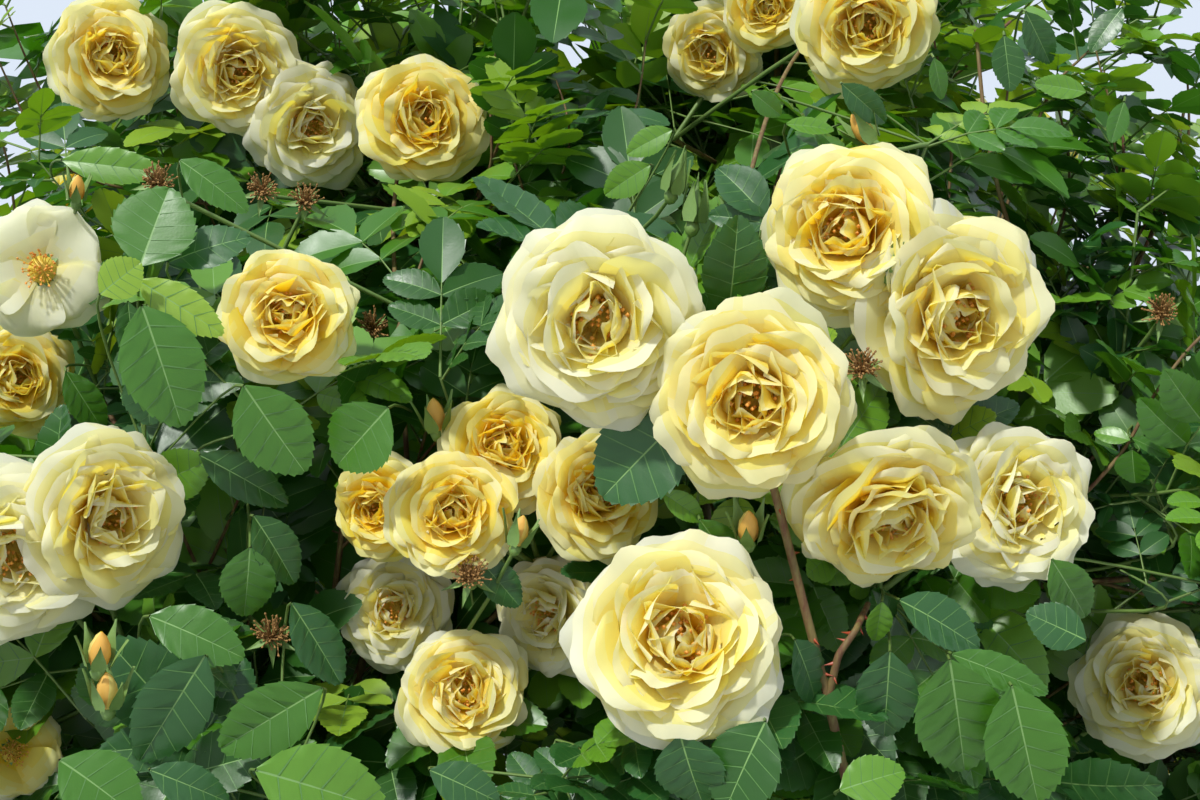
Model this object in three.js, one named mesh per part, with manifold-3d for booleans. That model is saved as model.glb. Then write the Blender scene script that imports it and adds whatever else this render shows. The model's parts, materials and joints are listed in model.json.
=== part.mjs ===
// A shrub rose with double yellow flowers, rooted in level ground.
//
// Millimetres, +Z up. The origin is the middle of the flat cut under the root crown, at ground level.
// The flowering front faces -Y. Eight canes rise from a short root crown, each cane carries branches on
// short forks, and every cane and branch ends where it enters a mass of leafy, flowering shoots.
import * as THREE from "three";
import { mergeVertices } from "three/addons/utils/BufferGeometryUtils.js";
import Module from "manifold-3d";

const wasm = await Module();
wasm.setup();

// The whole shrub
const HEIGHT = 1560;
const SPREAD = 1440;
const WAIST = 960; // the height at which the crown is widest
const SKIRT = 150; // the lowest leaf
const GAP = 0.3; // between solids that meet face to face
const FINENESS = [0.25, 0.15, 0.4, 0.08]; // how far a corner left out may lie from the face that replaces it
const SAME_POINT = 0.001;

// The root crown, from which every cane rises
const CROWN_HEIGHT = 122;
const CROWN_RADIUS = 46;
const CROWN_SIDES = 10;
const CANE_LEAN = 30; // degrees from upright where a cane leaves the crown
const CANE_FOOT = 9.5; // radius
const CANE_TIP = 5;
const BRANCH_FOOT = 5.4;
const BRANCH_TIP = 3.8;
const STEM_TIP = 3;

// Foliage: each blade stands for one compound leaf
const LEAF_LENGTH = 152;
const LEAF_WIDTH = 102;
const LEAF_TRIES = 6; // ways in which a leaf is turned before its place is left bare
const LEAF_STATIONS = [0.84, 1]; // where leaves stand along a twig
const LEAF_CLEAR = 5; // from a leaf to any stem but its own
const LEAF_DROOP = 10; // the tip below the level of the root
const LEAF_FOLD = 9.5; // the edges below it
const TWIG_ROOT = 2.1;
const TWIG_TIP = 1.4;
const TWIG_LONGEST = 250;
const TWIGS = 6; // leafy twigs tried in each mass
const TWIG_SPREAD = -0.1; // the cosine of the widest angle between a twig and its mass's outward way
const CORE = 88; // radius of the dense middle of a mass, where leaves hide everything
const CORE_PLACE = 0.55; // the share of the way from the heart of a mass to its middle
const STALK_ROOT = 1.9;
const STALK_TIP = 1.5;
const FLOWER_WIDTH = 88;
const OTHER_FLOWERS = 2; // in a cluster that was not seen
const PETALS = 6; // scallops round the rim of a flower
const KNOT = 6.5; // the swelling at a cluster's fork
const CLUSTER_DEPTH = 85; // least distance from a cluster's fork out to the middle of its flowers

const GOLDEN_TURN = Math.PI * (3 - Math.sqrt(5));
const UP = new THREE.Vector3(0, 0, 1);
const CENTRE = new THREE.Vector3(0, 0, 0.9 * WAIST); // the point that the outside of the crown faces away from

// The tiers of masses: how many, the turn of the first in degrees, where the middle of each lies and how far
// every other one stands above it
const TIERS = [
  { name: "upper", count: 8, turn: -112.5, rise: 995, stagger: 110, out: 500 },
  { name: "middle", count: 8, turn: -90, rise: 650, stagger: 100, out: 500 },
  { name: "low", count: 6, turn: -120, rise: 375, stagger: 60, out: 400 },
  { name: "top", count: 5, turn: -126, rise: 1370, stagger: 40, out: 250 },
];

// The point of view from which the flowers of the front were placed: 1200 by 800 steps of view
const EYE = new THREE.Vector3(0, -1570, 1050);
const EYE_PITCH = 5; // degrees above level
const VIEW_REACH = 1852; // steps of view across a thing as wide as it is far
const VIEW_MIDDLE = [600, 400];
const CLEAR_SIGHT = 0.14; // the share of the way from a front flower to the eye that leaves stay out of

// The flowers of the front, by cluster: [across, down, width] in steps of view, the flower's real width,
// and which way it faces, in degrees to the right and upwards from straight towards the eye
const FRONT_CLUSTERS = {
  high_left: [
    [112, 57, 122, 84, 8, 10],
    [238, 70, 128, 86, 4, -6],
    [312, 126, 124, 84, 14, -4],
    [424, 118, 132, 86, 4, 10],
  ],
  lone_left: [[287, 314, 137, 72, -8, 10]],
  far_left: [
    [38, 268, 128, 76, -12, 4],
    [18, 378, 118, 74, 10, 6],
  ],
  low_left: [
    [112, 520, 165, 86, 26, -6],
    [15, 556, 172, 88, 4, -8],
    [14, 752, 96, 52, 10, 0],
  ],
  centre: [
    [597, 322, 212, 102, -4, -6],
    [752, 400, 198, 93, -4, -10],
    [846, 232, 184, 92, -14, 8],
    [957, 318, 192, 98, 32, -6],
  ],
  right: [
    [888, 517, 196, 94, 16, -42],
    [1022, 505, 166, 84, 24, 0],
  ],
  small_yellow: [
    [601, 497, 130, 68, 18, 2],
    [505, 447, 125, 66, 6, 10],
    [453, 513, 128, 66, 0, 4],
    [376, 508, 108, 58, -34, -10],
  ],
  small_low: [
    [394, 610, 116, 64, -10, 0],
    [464, 692, 132, 70, 4, 8],
    [548, 615, 118, 64, -28, -6],
  ],
  low_centre: [[680, 637, 208, 98, 2, 8]],
  low_right: [[1145, 685, 142, 80, -8, 4]],
  top_centre: [
    [712, 52, 104, 72, -18, -10],
    [868, 24, 142, 84, 6, -8],
    [768, 6, 92, 62, 0, 0],
  ],
};

// Materials
const bark = new THREE.MeshStandardMaterial({ color: 0x6d6038, roughness: 0.8, metalness: 0 });
const cane = new THREE.MeshStandardMaterial({ color: 0x6b4a32, roughness: 0.7, metalness: 0 });
const foliage = new THREE.MeshStandardMaterial({ color: 0x2f5a26, roughness: 0.55, metalness: 0 });

// An even, repeatable draw from 0 to 1
function dice(seed) {
  let state = Math.imul(seed + 1, 2654435761) >>> 0;
  return () => {
    state = (Math.imul(state, 1664525) + 1013904223) >>> 0;
    return state / 4294967296;
  };
}

function heading(degrees) {
  const turn = THREE.MathUtils.degToRad(degrees);
  return new THREE.Vector3(Math.cos(turn), Math.sin(turn), 0);
}

function blend(...parts) {
  const sum = new THREE.Vector3();
  for (const [vector, share] of parts) sum.addScaledVector(vector, share);
  return sum.normalize();
}

function ahead(point, direction, distance) {
  return point.clone().addScaledVector(direction, distance);
}

// How far the crown reaches from its axis at a height and a turn
function reachAt(z, turn) {
  const uneven = 1 + 0.045 * Math.sin(3 * turn + 1) + 0.035 * Math.sin(5 * turn + z / 170);
  if (z > WAIST) {
    const up = (z - WAIST) / (HEIGHT - WAIST);
    return (SPREAD / 2) * uneven * Math.sqrt(Math.max(0, 1 - up ** 2.6));
  }
  const down = (WAIST - z) / WAIST;
  return (SPREAD / 2) * uneven * (1 - 0.4 * down ** 1.8);
}

function insideCrown(point, margin) {
  const turn = Math.atan2(point.y, point.x);
  const top = point.z + margin * 0.6;
  return point.z > SKIRT && top < HEIGHT && Math.hypot(point.x, point.y) + margin < reachAt(top, turn);
}

// The masses, each with the middle of its space and the heart that its shoots spring from
function placeMasses() {
  const masses = [];
  for (const tier of TIERS) {
    for (let i = 0; i < tier.count; i++) {
      const roll = dice(100 + masses.length);
      const turn = tier.turn + (360 / tier.count) * i + (i ? (roll() - 0.5) * 9 : 0);
      const outward = heading(turn);
      const rise = tier.rise + (i % 2) * tier.stagger + (roll() - 0.5) * 40;
      const middle = outward.clone().multiplyScalar(tier.out).setZ(rise);
      const heart = ahead(middle, blend([outward, 0.45], [UP, 1]), -95);
      const core = heart.clone().lerp(middle, CORE_PLACE);
      const lead = middle.clone().sub(CENTRE).normalize();
      const name = `${tier.name}_${i + 1}`;
      masses.push({ name, tier, outward, lead, middle, heart, core, number: masses.length });
    }
  }
  return masses;
}

const masses = placeMasses();

// A point belongs to the mass whose middle is nearest, by a margin on each side
function inOwnSpace(mass, point, margin) {
  for (const other of masses) {
    if (other === mass) continue;
    const across = other.middle.clone().sub(mass.middle);
    const border = across.length() / 2 - margin;
    if (point.clone().sub(mass.middle).dot(across.normalize()) > border) return false;
  }
  return true;
}

// Solids
function solidOf(geometry) {
  const bare = geometry.index ? geometry.toNonIndexed() : geometry.clone();
  bare.deleteAttribute("normal");
  bare.deleteAttribute("uv");
  const merged = mergeVertices(bare, SAME_POINT);
  const vertProperties = merged.getAttribute("position").array;
  const triVerts = new Uint32Array(merged.index.array);
  return new wasm.Manifold(new wasm.Mesh({ numProp: 3, vertProperties, triVerts }));
}

function geometryOf(solid) {
  const { vertProperties, triVerts } = solid.getMesh();
  return new THREE.BufferGeometry()
    .setAttribute("position", new THREE.BufferAttribute(vertProperties, 3))
    .setIndex(new THREE.BufferAttribute(triVerts, 1));
}

// The largest closed body of a solid: scraps are dropped and sealed hollows filled
function mainBody(solid) {
  return solid.decompose().reduce((largest, body) => (body.volume() > largest.volume() ? body : largest));
}

// Whether each edge still has just two faces when the corners are rounded to a tenth of a micrometre
function closedWhenRounded(solid) {
  const { vertProperties, triVerts } = solid.getMesh();
  const spot = (corner) => [0, 1, 2].map((axis) => vertProperties[3 * corner + axis].toFixed(4)).join();
  const faces = new Map();
  for (let i = 0; i < triVerts.length; i += 3) {
    const spots = [0, 1, 2].map((step) => spot(triVerts[i + step]));
    if (new Set(spots).size < 3) return false;
    spots.forEach((from, step) => {
      const edge = [from, spots[(step + 1) % 3]].sort().join(" to ");
      faces.set(edge, (faces.get(edge) ?? 0) + 1);
    });
  }
  return [...faces.values()].every((count) => count === 2);
}

// One closed body of all the solids, or of all but the last few where those touch at a hair's breadth
function joined(solids) {
  for (let kept = solids.length; kept > 0; kept--) {
    const whole = mainBody(wasm.Manifold.union(solids.slice(0, kept)));
    const versions = FINENESS.map((fineness) => mainBody(solidOf(geometryOf(whole.simplify(fineness)))));
    const closed = versions.find(closedWhenRounded);
    if (closed) return closed;
  }
  throw new Error("no closed body");
}

// A tapering limb: the rings of a cylinder carried onto a curve
function limbGeometry(curve, rootRadius, tipRadius, sides, rings) {
  const shape = new THREE.CylinderGeometry(tipRadius, rootRadius, 1, sides, rings);
  const frames = curve.computeFrenetFrames(rings);
  const vertices = shape.getAttribute("position");
  for (let i = 0; i < vertices.count; i++) {
    const along = vertices.getY(i) + 0.5;
    const ring = Math.round(along * rings);
    const place = curve.getPointAt(along);
    place.addScaledVector(frames.normals[ring], vertices.getX(i));
    place.addScaledVector(frames.binormals[ring], -vertices.getZ(i));
    vertices.setXYZ(i, place.x, place.y, place.z);
  }
  return shape;
}

function twigSolid(from, to, rootRadius, tipRadius, sides = 3) {
  return solidOf(limbGeometry(new THREE.LineCurve3(from, to), rootRadius, tipRadius, sides, 1));
}

function placed(geometry, origin, x, y, z) {
  return geometry.applyMatrix4(new THREE.Matrix4().makeBasis(x, y, z).setPosition(origin));
}

// A blade folded along its midrib: the ends of the midrib, and the two edges a little below it
function leafCorners(leaf) {
  const side = new THREE.Vector3().crossVectors(leaf.face, leaf.along).normalize();
  const face = new THREE.Vector3().crossVectors(leaf.along, side);
  const at = (x, y, z) =>
    leaf.root
      .clone()
      .addScaledVector(leaf.along, x * leaf.length)
      .addScaledVector(side, y * leaf.width)
      .addScaledVector(face, z);
  return [at(0, 0, 0), at(1, 0, -LEAF_DROOP), at(0.48, 0.5, -LEAF_FOLD), at(0.48, -0.5, -LEAF_FOLD)];
}

function leafSolid(leaf) {
  const [root, tip, left, right] = leafCorners(leaf);
  const shape = new THREE.TetrahedronGeometry(1, 0);
  const vertices = shape.getAttribute("position");
  for (let i = 0; i < vertices.count; i++) {
    const ends = vertices.getZ(i) > 0 ? [root, tip] : [left, right];
    const corner = vertices.getX(i) > 0 ? ends[0] : ends[1];
    vertices.setXYZ(i, corner.x, corner.y, corner.z);
  }
  return solidOf(shape);
}

// An open flower: a shallow bowl with a scalloped rim and a dip at its heart
function flowerSolid(flower) {
  const radius = flower.width / 2;
  const profile = [
    [0, -0.45],
    [1, 0.04],
    [0.6, 0.3],
    [0, 0.12],
  ].map(([out, up]) => new THREE.Vector2(out * radius, up * radius));
  const shape = new THREE.LatheGeometry(profile, PETALS);
  const vertices = shape.getAttribute("position");
  for (let i = 0; i < vertices.count; i++) {
    const step = Math.round((Math.atan2(vertices.getZ(i), vertices.getX(i)) / Math.PI / 2) * PETALS);
    const scallop = step % 2 ? 0.92 : 1;
    vertices.setXYZ(i, vertices.getX(i) * scallop, vertices.getY(i), vertices.getZ(i) * scallop);
  }
  const side = new THREE.Vector3().crossVectors(flower.face, UP).normalize();
  const third = new THREE.Vector3().crossVectors(side, flower.face);
  return solidOf(placed(shape, flower.centre, side, flower.face, third));
}

// What already takes up room, as round-ended rods: limbs first, then stems, stalks and flowers
const taken = [];

function take(from, to, radius, owner, kind) {
  taken.push({ from, to, radius, owner, kind });
}

function distanceTo(rod, point) {
  const length = rod.to.clone().sub(rod.from);
  const share = length.lengthSq() ? point.clone().sub(rod.from).dot(length) / length.lengthSq() : 0;
  return ahead(rod.from, length, THREE.MathUtils.clamp(share, 0, 1)).distanceTo(point);
}

function clearOf(points, margin, counts) {
  return taken.every((rod) => !counts(rod) || points.every((p) => distanceTo(rod, p) > rod.radius + margin));
}

const notOwnStalk = (mass) => (rod) => rod.owner !== mass || rod.kind !== "stalk";
const notOtherLeaf = (mass) => (rod) => rod.kind !== "leaf" || rod.owner === mass;

function pointsAlong(from, to, steps) {
  return Array.from({ length: steps + 1 }, (_, i) => from.clone().lerp(to, i / steps));
}

const group = new THREE.Group();
group.name = "rose_bush";

function addPart(name, geometry, material) {
  const mesh = new THREE.Mesh(geometry, material);
  mesh.name = name;
  group.add(mesh);
}

// Limbs
function limbCurve(from, leaving, to, arriving) {
  const pull = from.distanceTo(to) * 0.36;
  return new THREE.CubicBezierCurve3(from, ahead(from, leaving, pull), ahead(to, arriving, -pull), to);
}

function takeLimb(curve, rootRadius, tipRadius, owner) {
  const points = curve.getSpacedPoints(12);
  for (let i = 1; i < points.length; i++) {
    const radius = THREE.MathUtils.lerp(rootRadius, tipRadius, (i - 1) / 12);
    take(points[i - 1], points[i], radius, owner, "limb");
  }
}

// Each mass's stem leaves its limb's tip upwards and outwards, and ends at the heart of the mass
for (const mass of masses) {
  mass.arriving = blend([mass.outward, 0.55], [UP, 1]);
  mass.stemFoot = ahead(mass.heart, mass.arriving, -90);
  mass.limbTip = ahead(mass.stemFoot, mass.arriving, -GAP);
}

const byTier = (name) => masses.filter((mass) => mass.tier.name === name);

function placeCanes() {
  return byTier("upper").map((mass, i) => {
    const roll = dice(300 + i);
    const lean = THREE.MathUtils.degToRad(CANE_LEAN + (roll() - 0.5) * 10);
    const leaving = blend([mass.outward, Math.sin(lean)], [UP, Math.cos(lean)]);
    const inside = new THREE.Vector3(0, 0, 62 + (i % 2) * 18);
    const stubEnd = ahead(inside, leaving, 74);
    const curve = limbCurve(ahead(stubEnd, leaving, GAP), leaving, mass.limbTip, mass.arriving);
    return { mass, curve, leaving, inside, stubEnd, forks: [], foot: CANE_FOOT, tip: CANE_TIP };
  });
}

const canes = placeCanes();

// A branch leaves a cane on a fork, a short stub long enough to stand clear of the cane
function addBranch(canesAt, share, mass) {
  const from = canes[canesAt];
  const root = from.curve.getPointAt(share);
  const caneWay = from.curve.getTangentAt(share);
  const leaving = blend([mass.limbTip.clone().sub(root).normalize(), 0.85], [caneWay, 0.4]);
  const angle = caneWay.angleTo(leaving);
  const caneRadius = THREE.MathUtils.lerp(CANE_FOOT, CANE_TIP, share);
  const stub = (caneRadius + BRANCH_FOOT * Math.cos(angle)) / Math.sin(angle) + 5;
  const stubEnd = ahead(root, leaving, stub);
  from.forks.push({ root, stubEnd });
  const curve = limbCurve(ahead(stubEnd, leaving, GAP), leaving, mass.limbTip, mass.arriving);
  return { mass, curve, foot: BRANCH_FOOT, tip: BRANCH_TIP };
}

function nearestCane(mass, used) {
  const gaps = canes.map((each, i) => [each.mass.outward.angleTo(mass.outward) + used[i] * 0.3, i]);
  const nearest = gaps.sort((a, b) => a[0] - b[0])[0][1];
  used[nearest] += 1;
  return nearest;
}

const branches = [];
for (const [tier, share] of [
  ["low", 0.1],
  ["middle", 0.4],
  ["top", 0.66],
]) {
  const used = canes.map(() => 0);
  for (const mass of byTier(tier)) branches.push(addBranch(nearestCane(mass, used), share, mass));
}

for (const { mass, curve, foot, tip } of [...canes, ...branches]) takeLimb(curve, foot, tip, mass);
for (const { forks } of canes) {
  for (const fork of forks) take(fork.root, fork.stubEnd, BRANCH_FOOT, null, "limb");
}
take(new THREE.Vector3(0, 0, 0), new THREE.Vector3(0, 0, CROWN_HEIGHT), CROWN_RADIUS, null, "limb");

function addRootCrown() {
  const outline = [
    [0, 0],
    [CROWN_RADIUS, 0],
    [0.74 * CROWN_RADIUS, 0.2 * CROWN_HEIGHT],
    [0.68 * CROWN_RADIUS, 0.7 * CROWN_HEIGHT],
    [0.45 * CROWN_RADIUS, 0.95 * CROWN_HEIGHT],
    [0, CROWN_HEIGHT],
  ].map(([out, up]) => new THREE.Vector2(out, up));
  const shape = new THREE.LatheGeometry(outline, CROWN_SIDES).rotateX(Math.PI / 2);
  const stubs = canes.map(({ inside, stubEnd }) => twigSolid(inside, stubEnd, 1.15 * CANE_FOOT, CANE_FOOT, 5));
  addPart("root_crown", geometryOf(joined([solidOf(shape), ...stubs])), bark);
}

function addCanes() {
  canes.forEach(({ curve, forks, foot, tip }, i) => {
    const tube = solidOf(limbGeometry(curve, foot, tip, 6, 7));
    const stubs = forks.map(({ root, stubEnd }) => twigSolid(root, stubEnd, 1.1 * BRANCH_FOOT, BRANCH_FOOT, 4));
    addPart(`cane_${i + 1}`, geometryOf(joined([tube, ...stubs])), cane);
  });
}

function addBranches() {
  for (const { mass, curve, foot, tip } of branches) {
    addPart(`branch_${mass.name}`, limbGeometry(curve, foot, tip, 4, 4), cane);
  }
}

// Flowers: those of the front where they were seen, and clusters on every other mass
function seenAt([across, down, seenWidth, width, right, up]) {
  const pitch = THREE.MathUtils.degToRad(EYE_PITCH);
  const distance = (VIEW_REACH * width) / seenWidth;
  const sight = new THREE.Vector3(across - VIEW_MIDDLE[0], VIEW_REACH, VIEW_MIDDLE[1] - down);
  sight.applyAxisAngle(new THREE.Vector3(1, 0, 0), pitch);
  const centre = ahead(EYE, sight, distance / VIEW_REACH);
  const back = EYE.clone().sub(centre).normalize();
  const face = back.applyAxisAngle(UP, THREE.MathUtils.degToRad(right));
  const level = new THREE.Vector3().crossVectors(face, UP).normalize();
  face.applyAxisAngle(level, THREE.MathUtils.degToRad(up));
  return { centre, face, width };
}

function middleOf(flowers) {
  const sum = new THREE.Vector3();
  for (const { centre } of flowers) sum.add(centre);
  return sum.divideScalar(flowers.length);
}

function clusterOn(mass, flowers) {
  const middle = middleOf(flowers);
  const inward = blend([mass.outward, -1], [UP, -0.55]);
  const spread = Math.max(...flowers.map(({ centre }) => centre.distanceTo(middle)));
  return { flowers, fork: ahead(middle, inward, Math.max(CLUSTER_DEPTH, 0.95 * spread)) };
}

function frontClusters() {
  for (const places of Object.values(FRONT_CLUSTERS)) {
    const flowers = places.map(seenAt);
    const middle = middleOf(flowers);
    const mass = masses.reduce((best, each) =>
      each.middle.distanceTo(middle) < best.middle.distanceTo(middle) ? each : best,
    );
    mass.clusters.push(clusterOn(mass, flowers));
    for (const { centre, width } of flowers) {
      take(centre, centre.clone().lerp(EYE, CLEAR_SIGHT), 0.36 * width, mass, "sight");
    }
  }
}

function takeCluster(mass, cluster) {
  take(mass.heart, cluster.fork, TWIG_ROOT, mass, "stalk");
  for (const flower of cluster.flowers) {
    flower.back = ahead(flower.centre, flower.face, -0.36 * (flower.width / 2));
    take(cluster.fork, flower.back, STALK_ROOT, mass, "stalk");
    take(flower.centre, flower.centre, flower.width / 2, mass, "flower");
  }
}

// Tries directions round the mass's outward way until its cluster has all its flowers
function otherCluster(mass) {
  const roll = dice(500 + mass.number);
  const flowers = [];
  const clear = (centre, radius) =>
    inOwnSpace(mass, centre, radius + 4) && clearOf([centre], radius + 3, notOwnStalk(mass));
  for (let tries = 0; tries < 40 && flowers.length < OTHER_FLOWERS; tries++) {
    const turn = tries * GOLDEN_TURN + roll() * 0.6;
    const wide = 0.95 * Math.sqrt((tries + 0.5) / 40);
    const level = new THREE.Vector3().crossVectors(mass.outward, UP);
    const way = blend([mass.outward, 0.85], [UP, 0.5], [level, wide * Math.cos(turn)], [UP, wide * Math.sin(turn)]);
    const width = FLOWER_WIDTH * (0.82 + 0.3 * roll());
    let distance = 120;
    while (distance < 460 && insideCrown(ahead(mass.heart, way, distance + 10), 0.22 * width)) distance += 10;
    const centre = ahead(mass.heart, way, distance);
    if (distance < 150 || !clear(centre, width / 2)) continue;
    const face = blend([mass.outward, 0.62], [way, 0.5], [UP, 0.42]);
    take(centre, centre, width / 2, mass, "flower");
    flowers.push({ centre, face, width });
  }
  return flowers.length ? clusterOn(mass, flowers) : null;
}

for (const mass of masses) mass.clusters = [];
frontClusters();
for (const mass of masses) {
  take(mass.stemFoot, mass.heart, BRANCH_TIP, mass, "stalk");
  for (const cluster of mass.clusters) takeCluster(mass, cluster);
}
for (const mass of masses) {
  if (mass.clusters.length) continue;
  const cluster = otherCluster(mass);
  if (!cluster) continue;
  mass.clusters.push(cluster);
  takeCluster(mass, cluster);
}

// Twigs: from the stem towards the outside of the crown, as far as the mass's own space goes
function roomAlong(mass, from, way) {
  let distance = 0;
  const fits = (d) => {
    const point = ahead(from, way, d);
    return inOwnSpace(mass, point, 30) && insideCrown(point, 24);
  };
  while (distance < TWIG_LONGEST && fits(distance + 10)) distance += 10;
  return distance;
}

// Two ways square to a third
function squareTo(way) {
  const across = new THREE.Vector3().crossVectors(way, Math.abs(way.z) > 0.9 ? heading(0) : UP).normalize();
  return [across, new THREE.Vector3().crossVectors(way, across)];
}

function twigsOf(mass) {
  const [across, along] = squareTo(mass.lead);
  const twigs = [];
  for (let i = 0; i < TWIGS; i++) {
    const turn = i * GOLDEN_TURN + mass.number;
    const forward = THREE.MathUtils.lerp(0.98, TWIG_SPREAD, (i + 0.5) / TWIGS);
    const aside = Math.sqrt(1 - forward * forward);
    const way = blend([mass.lead, forward], [across, aside * Math.cos(turn)], [along, aside * Math.sin(turn)]);
    const root = mass.stemFoot.clone().lerp(mass.heart, 1 - (0.6 * i) / TWIGS);
    const length = roomAlong(mass, root, way);
    const from = ahead(root, way, 6);
    const to = ahead(root, way, length);
    if (length < 90) continue;
    if (!clearOf(pointsAlong(from, to, 10), TWIG_ROOT + 3, notOwnStalk(mass))) continue;
    take(root, to, TWIG_ROOT, mass, "stalk");
    twigs.push({ from: root, to, way });
  }
  return twigs;
}

// Leaves: spread round the outer part of a twig, faces to the light
function leafAt(twig, share, turn, roll) {
  const [across, along] = squareTo(twig.way);
  const spread = blend([twig.way, 0.45], [across, Math.cos(turn)], [along, Math.sin(turn)]);
  const point = twig.from.clone().lerp(twig.to, share);
  const outside = point.clone().sub(CENTRE).normalize();
  const face = blend([outside, 1], [twig.way, 0.4], [UP, 0.5]);
  const size = 0.86 + 0.24 * roll();
  const root = ahead(point, spread, -0.6);
  return { root, along: spread, face, length: LEAF_LENGTH * size, width: LEAF_WIDTH * size };
}

function leafFits(mass, leaf) {
  const [root, tip, left, right] = leafCorners(leaf);
  const points = [tip, left, right];
  for (const [a, b] of [
    [root, left],
    [root, right],
    [tip, left],
    [tip, right],
    [root, tip],
    [left, right],
  ]) {
    points.push(a.clone().lerp(b, 0.34), a.clone().lerp(b, 0.56), a.clone().lerp(b, 0.78));
  }
  const inside = points.every((p) => inOwnSpace(mass, p, 2) && insideCrown(p, -12));
  return inside && clearOf(points, LEAF_CLEAR, notOtherLeaf(mass));
}

function fittingLeaf(mass, twig, share, turn, roll) {
  for (let tries = 0; tries < LEAF_TRIES; tries++) {
    const leaf = leafAt(twig, share, turn + (tries * 2 * Math.PI) / LEAF_TRIES, roll);
    if (leafFits(mass, leaf)) return leaf;
  }
  return null;
}

function leavesOf(mass, twigs) {
  const leaves = [];
  const roll = dice(900 + mass.number);
  const carriers = [...twigs];
  for (const { fork } of mass.clusters) {
    carriers.push({ from: mass.heart, to: fork, way: fork.clone().sub(mass.heart).normalize() });
  }
  for (const carrier of carriers) {
    const start = roll() * 2 * Math.PI;
    LEAF_STATIONS.forEach((share, i) => {
      const leaf = fittingLeaf(mass, carrier, share, start + (i * 2 * Math.PI) / LEAF_STATIONS.length, roll);
      if (!leaf) return;
      const [root, tip] = leafCorners(leaf);
      take(root.clone().lerp(tip, 0.28), tip, 0.16 * leaf.width, mass, "leaf");
      leaves.push(leaf);
      carrier.leafy = true;
    });
  }
  return leaves;
}

// The dense middle of a mass: a lumpy ball, smaller where a limb or a flower needs the room
function coreOf(mass) {
  const roll = dice(1100 + mass.number);
  let radius = CORE;
  for (const rod of taken) {
    if (rod.kind === "flower") radius = Math.min(radius, distanceTo(rod, mass.core) - 0.5 * rod.radius);
    if (rod.kind === "limb") radius = Math.min(radius, (distanceTo(rod, mass.core) - rod.radius - 4) / 1.25);
  }
  const shape = mergeVertices(new THREE.OctahedronGeometry(1, 1).deleteAttribute("uv").deleteAttribute("normal"));
  const vertices = shape.rotateX(roll()).rotateZ(roll()).getAttribute("position");
  for (let i = 0; i < vertices.count; i++) {
    const lump = radius * (i % 2 ? 0.6 + 0.2 * roll() : 1 + 0.25 * roll());
    const corner = new THREE.Vector3().fromBufferAttribute(vertices, i).multiplyScalar(lump).add(mass.core);
    vertices.setXYZ(i, corner.x, corner.y, corner.z);
  }
  return solidOf(shape);
}

function addMasses() {
  for (const mass of masses) {
    const twigs = twigsOf(mass);
    const leaves = leavesOf(mass, twigs);
    const solids = [twigSolid(mass.stemFoot, mass.core, BRANCH_TIP, STEM_TIP), coreOf(mass)];
    for (const { from, to, leafy } of twigs) {
      if (leafy) solids.push(twigSolid(from, to, TWIG_ROOT, TWIG_TIP));
    }
    for (const { fork, flowers } of mass.clusters) {
      const knot = new THREE.OctahedronGeometry(KNOT, 0).rotateX(0.7).rotateY(0.4).translate(fork.x, fork.y, fork.z);
      solids.push(twigSolid(mass.heart, fork, TWIG_ROOT, STALK_ROOT), solidOf(knot));
      for (const flower of flowers) {
        solids.push(twigSolid(fork, flower.back, STALK_ROOT, STALK_TIP), flowerSolid(flower));
      }
    }
    for (const leaf of leaves) solids.push(leafSolid(leaf));
    addPart(`shoots_${mass.name}`, geometryOf(joined(solids)), foliage);
  }
}

addRootCrown();
addCanes();
addBranches();
addMasses();

export default group;
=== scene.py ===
# A shrub rose with double yellow flowers, dressed leaf by leaf and petal by petal over its solids.
import json
import math

import bpy
import numpy as np
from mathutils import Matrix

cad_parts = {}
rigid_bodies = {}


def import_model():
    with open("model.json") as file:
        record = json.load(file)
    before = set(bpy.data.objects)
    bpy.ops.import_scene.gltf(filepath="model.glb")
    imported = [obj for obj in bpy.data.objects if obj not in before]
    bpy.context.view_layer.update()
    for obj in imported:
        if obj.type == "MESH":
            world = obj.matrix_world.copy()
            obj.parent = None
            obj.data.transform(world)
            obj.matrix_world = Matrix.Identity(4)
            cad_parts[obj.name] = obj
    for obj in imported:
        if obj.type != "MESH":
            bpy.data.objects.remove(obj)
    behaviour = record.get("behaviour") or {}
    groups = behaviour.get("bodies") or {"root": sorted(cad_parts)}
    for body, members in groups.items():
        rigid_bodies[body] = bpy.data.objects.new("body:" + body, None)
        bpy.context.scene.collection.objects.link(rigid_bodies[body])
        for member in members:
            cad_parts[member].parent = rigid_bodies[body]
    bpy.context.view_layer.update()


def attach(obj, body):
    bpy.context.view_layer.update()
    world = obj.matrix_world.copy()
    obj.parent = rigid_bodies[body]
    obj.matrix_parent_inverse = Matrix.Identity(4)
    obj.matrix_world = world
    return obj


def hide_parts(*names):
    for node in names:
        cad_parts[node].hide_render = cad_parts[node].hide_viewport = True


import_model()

MM = 0.001
UP = np.array((0.0, 0.0, 1.0))
GOLDEN_TURN = math.pi * (3 - math.sqrt(5))

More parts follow.
